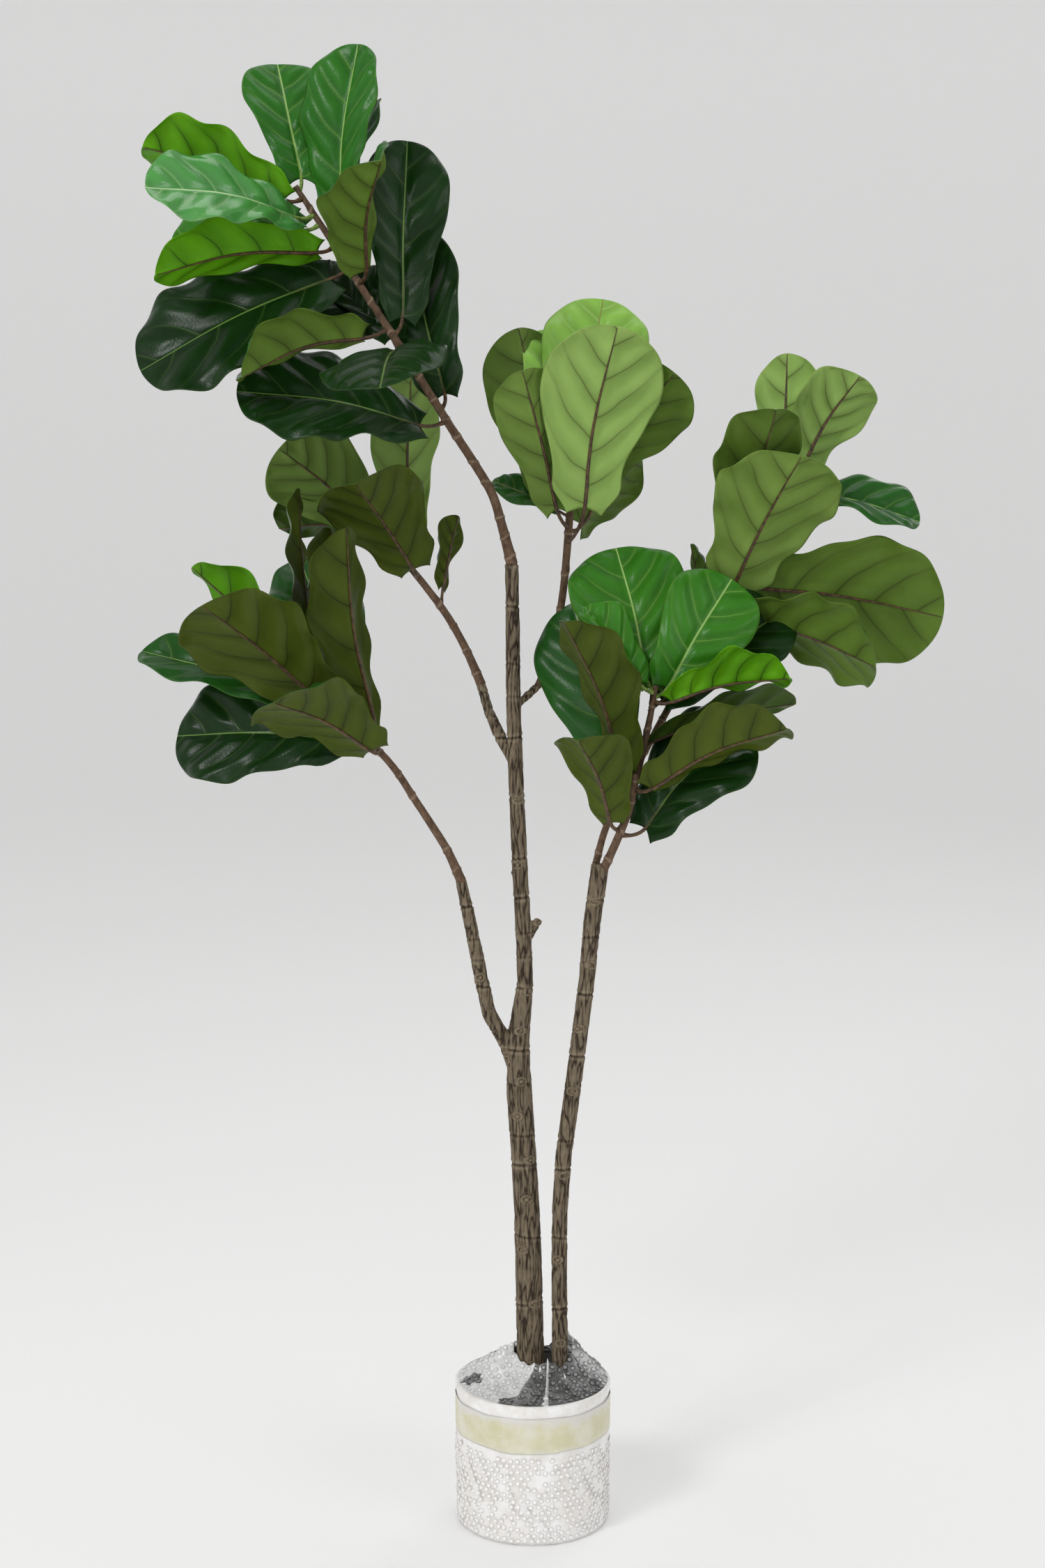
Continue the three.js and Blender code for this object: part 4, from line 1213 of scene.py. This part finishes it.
# a dome on every point, turned the way the point faces, joined to the sheet that is given
def bubbleTree():
    tree = bpy.data.node_groups.new("bubbles", "GeometryNodeTree")
    face = tree.interface
    face.new_socket("Geometry", in_out="INPUT", socket_type="NodeSocketGeometry")
    for label, value in [("Radius", 3.7 * mm), ("Height", 1.9 * mm), ("Unevenness", 0.6)]:
        socket = face.new_socket(label, in_out="INPUT", socket_type="NodeSocketFloat")
        socket.default_value = value
    face.new_socket("Sheet", in_out="INPUT", socket_type="NodeSocketObject")
    face.new_socket("Film", in_out="INPUT", socket_type="NodeSocketMaterial")
    face.new_socket("Geometry", in_out="OUTPUT", socket_type="NodeSocketGeometry")
    given = addNode(tree, "NodeGroupInput")
    ball = addNode(tree, "GeometryNodeMeshUVSphere", {}, {
        "Segments": 9, "Rings": 6, "Radius": 1.0})
    at = addNode(tree, "GeometryNodeInputPosition")
    level = addNode(tree, "ShaderNodeSeparateXYZ", {}, {0: at.outputs[0]})
    low = addNode(tree, "FunctionNodeCompare", {"operation": "LESS_THAN"}, {
        0: level.outputs[2], 1: -0.05})
    dome = addNode(tree, "GeometryNodeDeleteGeometry", {"domain": "POINT"}, {
        "Geometry": ball.outputs["Mesh"], "Selection": low.outputs[0]})
    marked = addNode(tree, "GeometryNodeStoreNamedAttribute", {
        "data_type": "FLOAT", "domain": "POINT"}, {
        "Geometry": dome.outputs[0], "Name": "dome", "Value": level.outputs[2]})
    facing = addNode(tree, "GeometryNodeInputNamedAttribute", {"data_type": "FLOAT_VECTOR"},
                     {"Name": "facing"})
    turned = addNode(tree, "FunctionNodeAlignRotationToVector", {"axis": "Z"}, {
        "Vector": facing.outputs["Attribute"]})
    uneven = addNode(tree, "ShaderNodeMath", {"operation": "SUBTRACT"}, {
        0: 1.0, 1: given.outputs["Unevenness"]})
    fill = addNode(tree, "FunctionNodeRandomValue", {"data_type": "FLOAT"}, {
        2: uneven.outputs[0], 3: 1.0, "Seed": 7})
    rise = addNode(tree, "ShaderNodeMath", {"operation": "MULTIPLY"}, {
        0: fill.outputs[1], 1: given.outputs["Height"]})
    size = addNode(tree, "ShaderNodeCombineXYZ", {}, {
        0: given.outputs["Radius"], 1: given.outputs["Radius"], 2: rise.outputs[0]})
    placed = addNode(tree, "GeometryNodeInstanceOnPoints", {}, {
        "Points": given.outputs["Geometry"], "Instance": marked.outputs[0],
        "Rotation": turned.outputs[0], "Scale": size.outputs[0]})
    solid = addNode(tree, "GeometryNodeRealizeInstances", {}, {0: placed.outputs[0]})
    smoothed = addNode(tree, "GeometryNodeSetShadeSmooth", {}, {0: solid.outputs[0]})
    dressed = addNode(tree, "GeometryNodeSetMaterial", {}, {
        "Geometry": smoothed.outputs[0], "Material": given.outputs["Film"]})
    sheet = addNode(tree, "GeometryNodeObjectInfo", {}, {0: given.outputs["Sheet"]})
    joined = addNode(tree, "GeometryNodeJoinGeometry")
    tree.links.new(dressed.outputs[0], joined.inputs[0])
    tree.links.new(sheet.outputs["Geometry"], joined.inputs[0])
    addNode(tree, "NodeGroupOutput", {}, {0: joined.outputs[0]})
    return tree


bubbleGrowth = bubbleTree()


# the sheet with a bubble on each of the points, facing the way that is given with it
def withBubbles(name, sheetMesh, points, facings, film):
    sheetObject = bpy.data.objects.new("sheet", sheetMesh)
    scene.collection.objects.link(sheetObject)
    pointMesh = bpy.data.meshes.new("points")
    pointMesh.from_pydata([tuple(p) for p in points], [], [])
    pointMesh.attributes.new("facing", "FLOAT_VECTOR", "POINT").data.foreach_set(
        "vector", np.array(facings, dtype=np.float32).ravel())
    mesh = grown(name, pointMesh, bubbleGrowth, {
        "Radius": wrapShape["bubbleRadius"], "Height": wrapShape["bubbleHeight"],
        "Sheet": sheetObject, "Film": film})
    bpy.data.objects.remove(sheetObject)
    return mesh


# the pot's outside at a height
def outerRadius(z):
    return footRadius + (rimRadius - footRadius) * z / rimHeight


# the sleeve round the pot: slanted creases, tight under the tape, turned in over the rim
def makeSleeve():
    rows, columns = wrapShape["sleeveGrid"]
    turns = np.linspace(0, 2 * math.pi, columns, endpoint=False)
    heights = np.linspace(1.8 * mm, rimHeight + 1.0 * mm, rows)
    grid = np.zeros((rows + 4, columns, 3))

    def radiusOf(turn, z):
        x, y = math.cos(turn), math.sin(turn)
        fold = noise.noise((x * 2.2, y * 2.2, z * 16 + x * 2.0))
        slant = noise.noise((math.cos(turn + z * 5) * 5, math.sin(turn + z * 5) * 5, z * 12))
        lowEdge, highEdge = wrapShape["tightRange"]
        tape = smooth(z, *lowEdge) * (1 - smooth(z, *highEdge))
        loose = (0.4 + 0.6 * abs(fold) * 1.4 + max(slant, 0) * 1.2) * wrapShape["crease"]
        for fromAngle, fromHeight, toAngle, toHeight in wrapShape["folds"]:
            share = (z / mm - fromHeight) / (toHeight - fromHeight)
            off = math.degrees(turn) - fromAngle - (toAngle - fromAngle) * share
            off = ((off + 180) % 360 - 180) / 2.6
            if 0 < share < 1 and abs(off) < 3:
                ridge = math.exp(-off * off) - 0.45 * math.exp(-(off - 1.5) ** 2)
                loose += wrapShape["foldHeight"] * ridge * math.sin(share * math.pi)
        return outerRadius(z) + wrapShape["sleeveGap"] + max(loose, 0) * (1 - 0.75 * tape)

    for i, z in enumerate(heights):
        for j, turn in enumerate(turns):
            r = radiusOf(turn, float(z))
            hem = abs(noise.noise((math.cos(turn) * 4, math.sin(turn) * 4, 3)))
            lift = wrapShape["hem"] * hem * (1 - smooth(z, 0.0, 0.03))
            grid[i, j] = (r * math.cos(turn), r * math.sin(turn), z + lift)
    for k in range(4):
        bend = math.radians(28 * (k + 1))
        for j, turn in enumerate(turns):
            r = outerRadius(rimHeight) + 1.8 * mm - 2.6 * mm * (1 - math.cos(bend))
            z = rimHeight + 1.0 * mm + 1.2 * mm * math.sin(bend) * (0.6 + 0.1 * k)
            grid[rows + k, j] = (r * math.cos(turn), r * math.sin(turn), z)
    mesh = shell("sleeve", grid, wrapShape["film"], True, [milkyFilm])
    points, facings = [], []
    pitch = wrapShape["bubblePitch"]
    tapeLow, tapeHigh = wrapShape["tapeRange"]
    count = round(2 * math.pi * (rimRadius + 2 * mm) / pitch)
    z = 7 * mm
    row = 0
    rng = random.Random(8)
    while z < rimHeight - 3 * mm:
        for k in range(count):
            turn = 2 * math.pi * (k + 0.5 * (row % 2)) / count
            flat = noise.noise((math.cos(turn) * 3, math.sin(turn) * 3, z * 30))
            if tapeLow < z < tapeHigh or flat < -0.38 or rng.random() < wrapShape["missing"]:
                continue
            side = turn + rng.uniform(-0.008, 0.008)
            level = z + rng.uniform(-0.9, 0.9) * mm
            r = radiusOf(side, level) + wrapShape["film"] / 2
            points.append((r * math.cos(side), r * math.sin(side), level))
            facings.append((math.cos(side), math.sin(side), rng.uniform(-0.2, 0.2)))
        z += pitch * 0.866
        row += 1
    mesh = withBubbles("wrapSleeve", mesh, points, facings, milkyFilm)
    piece = newPiece("wrapSleeve", mesh, [], ["bubble_wrap"])
    print("sleeve bubbles", len(points), "faces", len(mesh.polygons))


makeSleeve()


def flapHeight(degrees):
    def bump(centre, spread):
        off = abs((degrees - centre + 540) % 360 - 180) / spread
        return math.cos(off * math.pi / 2) ** 2 if off < 1 else 0.0
    return (wrapShape["flapLeft"] * bump(160, 80)
            + wrapShape["flapRight"] * bump(35, 95))


# the film over the mouth, gathered up round the trunks: clear and low in front, milky over
# the left and the back, hazy on the right, with a pinched seam in front and one clear spot at
# the left rim
def makeTopFilm():
    rows, columns = wrapShape["topGrid"]
    middleX, middleY = wrapShape["gatherCentre"]
    halfX, halfY = wrapShape["gatherHalf"]
    slant = wrapShape["gatherSlant"]
    angles = np.arange(columns) * 360 / columns
    verts, faces, slots = [], [], []
    seam = wrapShape["seam"]
    for i in range(rows):
        share = i / (rows - 1)
        for degrees in angles:
            turn = math.radians(degrees)
            outer = np.array([math.cos(turn), math.sin(turn)]) * (rimRadius - 0.5 * mm)
            inner = np.array([middleX + halfX * math.cos(turn),
                              middleY + slant * math.cos(turn) + halfY * math.sin(turn)]) * mm
            flap = flapHeight(degrees)
            fan = math.sin(turn * 9 + 1.3 * math.sin(turn * 4)) + 0.6 * math.sin(turn * 17 + 2)
            x, y = outer + (inner - outer) * share
            front = max(-math.sin(turn), 0)
            rise = 2.4 * mm + flap * share ** 1.1
            rise += (9 + 20 * front) * mm * share ** (1 + 3 * front)
            rise += (1.0 + flap / (16 * mm)) * mm * fan * smooth(share, 0.1, 0.8)
            crumple = (noise.noise((x * 55, y * 55, 4))
                       + 0.8 * noise.noise((x * 130, y * 130, 9)))
            rise += 3.6 * mm * crumple * smooth(share, 0.02, 0.2)
            rise += 6 * mm * math.exp(-((degrees - seam) / 1.4) ** 2) * smooth(share, 0.0, 0.3)
            verts.append((x, y, rimHeight + max(rise, 1.2 * mm)))
    for i in range(rows - 1):
        share = i / (rows - 1)
        for j in range(columns):
            a, b = i * columns + j, i * columns + (j + 1) % columns
            faces.append((a, b, b + columns, a + columns))
            degrees = angles[j] + 7 * noise.noise((share * 4, j * 0.01, 3))
            gap = ((degrees - 193) / 10) ** 2 + ((share - 0.22) / 0.17) ** 2
            if gap < 1:
                slots.append(0)
            elif 80 < degrees < 241 + 14 * share or abs(angles[j] - seam) < 1.7:
                slots.append(2)
            elif degrees < 70 or degrees > 340:
                slots.append(1)
            else:
                slots.append(0)
    mesh = bpy.data.meshes.new("topFilm")
    mesh.from_pydata(verts, [], faces)
    films = (clearFilm, hazyFilm, milkyThinFilm)
    for film in films:
        mesh.materials.append(film)
    mesh.polygons.foreach_set("material_index", slots)
    mesh.shade_smooth()
    normals = np.zeros(len(verts) * 3)
    mesh.vertices.foreach_get("normal", normals)
    normals = normals.reshape(-1, 3)
    maker = newMaker(mesh)
    thick = maker.modifiers.new("thick", "SOLIDIFY")
    thick.thickness = wrapShape["topFilm"]
    thick.offset = 0
    mesh = appliedMesh(maker, "topFilm")
    # the bubbles keep their spacing, so the rows nearer the middle hold fewer
    domes = [([], []), ([], []), ([], [])]
    rng = random.Random(4)
    for i in range(3, rows - 1, 5):
        around = 2 * math.pi * (rimRadius * (1 - i / rows) + 30 * mm * i / rows)
        count = int(around / wrapShape["bubblePitch"])
        for n in range(count):
            j = int((n + 0.5 * (i // 5 % 2)) * columns / count) % columns
            k = i * columns + j
            points, facings = domes[slots[k]]
            if rng.random() < wrapShape["missing"]:
                continue
            points.append(verts[k])
            facings.append(normals[k] * (1 if normals[k][2] > 0 else -1))
    for (points, facings), material in zip(domes, films):
        mesh = withBubbles("wrapTop", mesh, points, facings, material)
    piece = newPiece("wrapTop", mesh, [], ["bubble_wrap"])
    bubbles = sum(len(points) for points, facings in domes)
    print("top bubbles", bubbles, "faces", len(mesh.polygons))


makeTopFilm()


tapeShape = {
    "grid": (18, 260),
    "film": 0.3 * mm,
    "standOff": 2.9 * mm,  # from the pot, over the sleeve
    "edge": 2.2 * mm,  # how far its borders wander
    "dents": 0.5 * mm,
    "ribs": 0.35 * mm,
}


# one turn of packing tape, pressed on to the sleeve, its edges a little uneven
def makeTape():
    rows, columns = tapeShape["grid"]
    low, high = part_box("tape_band")
    grid = np.zeros((rows, columns, 3))
    for i in range(rows):
        share = i / (rows - 1)
        for j in range(columns):
            turn = 2 * math.pi * j / columns
            x, y = math.cos(turn), math.sin(turn)
            z = low.z + (high.z - low.z) * share
            edge = tapeShape["edge"] * noise.noise((x * 2.5, y * 2.5, 5 + share * 2))
            dents = tapeShape["dents"] * noise.noise((x * 14, y * 14, z * 120))
            ribs = math.sin(z * 900 + 3 * noise.noise((x * 3, y * 3, z * 20)))
            r = outerRadius(z) + tapeShape["standOff"] + dents + tapeShape["ribs"] * ribs
            z = min(max(z + edge, low.z - 2 * mm), high.z + 2 * mm)
            grid[i, j] = (r * x, r * y, z)
    mesh = shell("tapeBand", grid, tapeShape["film"], True, [tapeFilm])
    across = np.tile(np.repeat(np.linspace(0, 1, rows), columns), 2)
    mesh.attributes.new("across", "FLOAT", "POINT").data.foreach_set("value", across)
    piece = newPiece("tapeBand", mesh, [], ["tape_band"])


makeTape()

soilShape = {"voxel": 2.6 * mm, "lump": 2.2 * mm, "chips": 620, "chipSize": 4.2 * mm}


# chips of uneven size strewn over the faces that look up
def crumbTree():
    tree = bpy.data.node_groups.new("crumbs", "GeometryNodeTree")
    face = tree.interface
    face.new_socket("Geometry", in_out="INPUT", socket_type="NodeSocketGeometry")
    face.new_socket("Count", in_out="INPUT", socket_type="NodeSocketInt").default_value = 600
    face.new_socket("Size", in_out="INPUT", socket_type="NodeSocketFloat")
    face.new_socket("Crumb", in_out="INPUT", socket_type="NodeSocketMaterial")
    face.new_socket("Geometry", in_out="OUTPUT", socket_type="NodeSocketGeometry")
    given = addNode(tree, "NodeGroupInput")
    upwards = addNode(tree, "GeometryNodeInputNormal")
    level = addNode(tree, "ShaderNodeSeparateXYZ", {}, {0: upwards.outputs[0]})
    top = addNode(tree, "FunctionNodeCompare", {"operation": "GREATER_THAN"}, {
        0: level.outputs[2], 1: 0.6})
    perArea = addNode(tree, "ShaderNodeMath", {"operation": "DIVIDE"}, {
        0: given.outputs["Count"], 1: math.pi * (rimRadius - 5 * mm) ** 2})
    spots = addNode(tree, "GeometryNodeDistributePointsOnFaces", {}, {
        "Mesh": given.outputs["Geometry"], "Selection": top.outputs[0],
        "Density": perArea.outputs[0], "Seed": 11})
    crumb = addNode(tree, "GeometryNodeMeshIcoSphere", {}, {"Radius": 1.0, "Subdivisions": 1})
    turn = addNode(tree, "FunctionNodeRandomValue", {"data_type": "FLOAT_VECTOR"}, {
        0: (0, 0, 0), 1: (6.28, 6.28, 6.28), "Seed": 3})
    stretch = addNode(tree, "FunctionNodeRandomValue", {"data_type": "FLOAT_VECTOR"}, {
        0: (0.2, 0.25, 0.15), 1: (0.9, 0.5, 0.4), "Seed": 5})
    scaled = addNode(tree, "ShaderNodeVectorMath", {"operation": "SCALE"}, {
        0: stretch.outputs[0], "Scale": given.outputs["Size"]})
    placed = addNode(tree, "GeometryNodeInstanceOnPoints", {}, {
        "Points": spots.outputs["Points"], "Instance": crumb.outputs["Mesh"],
        "Rotation": turn.outputs[0], "Scale": scaled.outputs[0]})
    joined = addNode(tree, "GeometryNodeJoinGeometry")
    tree.links.new(given.outputs["Geometry"], joined.inputs[0])
    tree.links.new(placed.outputs[0], joined.inputs[0])
    solid = addNode(tree, "GeometryNodeRealizeInstances", {}, {0: joined.outputs[0]})
    dressed = addNode(tree, "GeometryNodeSetMaterial", {}, {
        "Geometry": solid.outputs[0], "Material": given.outputs["Crumb"]})
    addNode(tree, "NodeGroupOutput", {}, {0: dressed.outputs[0]})
    return tree


def makeSoil():
    mesh = mergedCopy(nodes["soil"])
    data = bpy.data.meshes.new("soilBody")
    mesh.to_mesh(data)
    mesh.free()
    maker = newMaker(data)
    remesh = maker.modifiers.new("remesh", "REMESH")
    remesh.mode = "VOXEL"
    remesh.voxel_size = soilShape["voxel"]
    fine = appliedMesh(maker, "soilBody")
    for v in fine.vertices:
        if v.co.z > soilHeight - 10 * mm and math.hypot(v.co.x, v.co.y) < rimRadius - 7 * mm:
            lump = noise.noise(v.co * 90) + 0.5 * noise.noise(v.co * 230)
            v.co.z += soilShape["lump"] * lump
    mesh = grown("soilCrumb", fine, crumbTree(), {
        "Count": soilShape["chips"], "Size": soilShape["chipSize"], "Crumb": soilMaterial()})
    newPiece("soilCrumb", mesh, [], ["soil"])
    print("soil faces", len(mesh.polygons))


makeSoil()
print("pot and wrapping made")
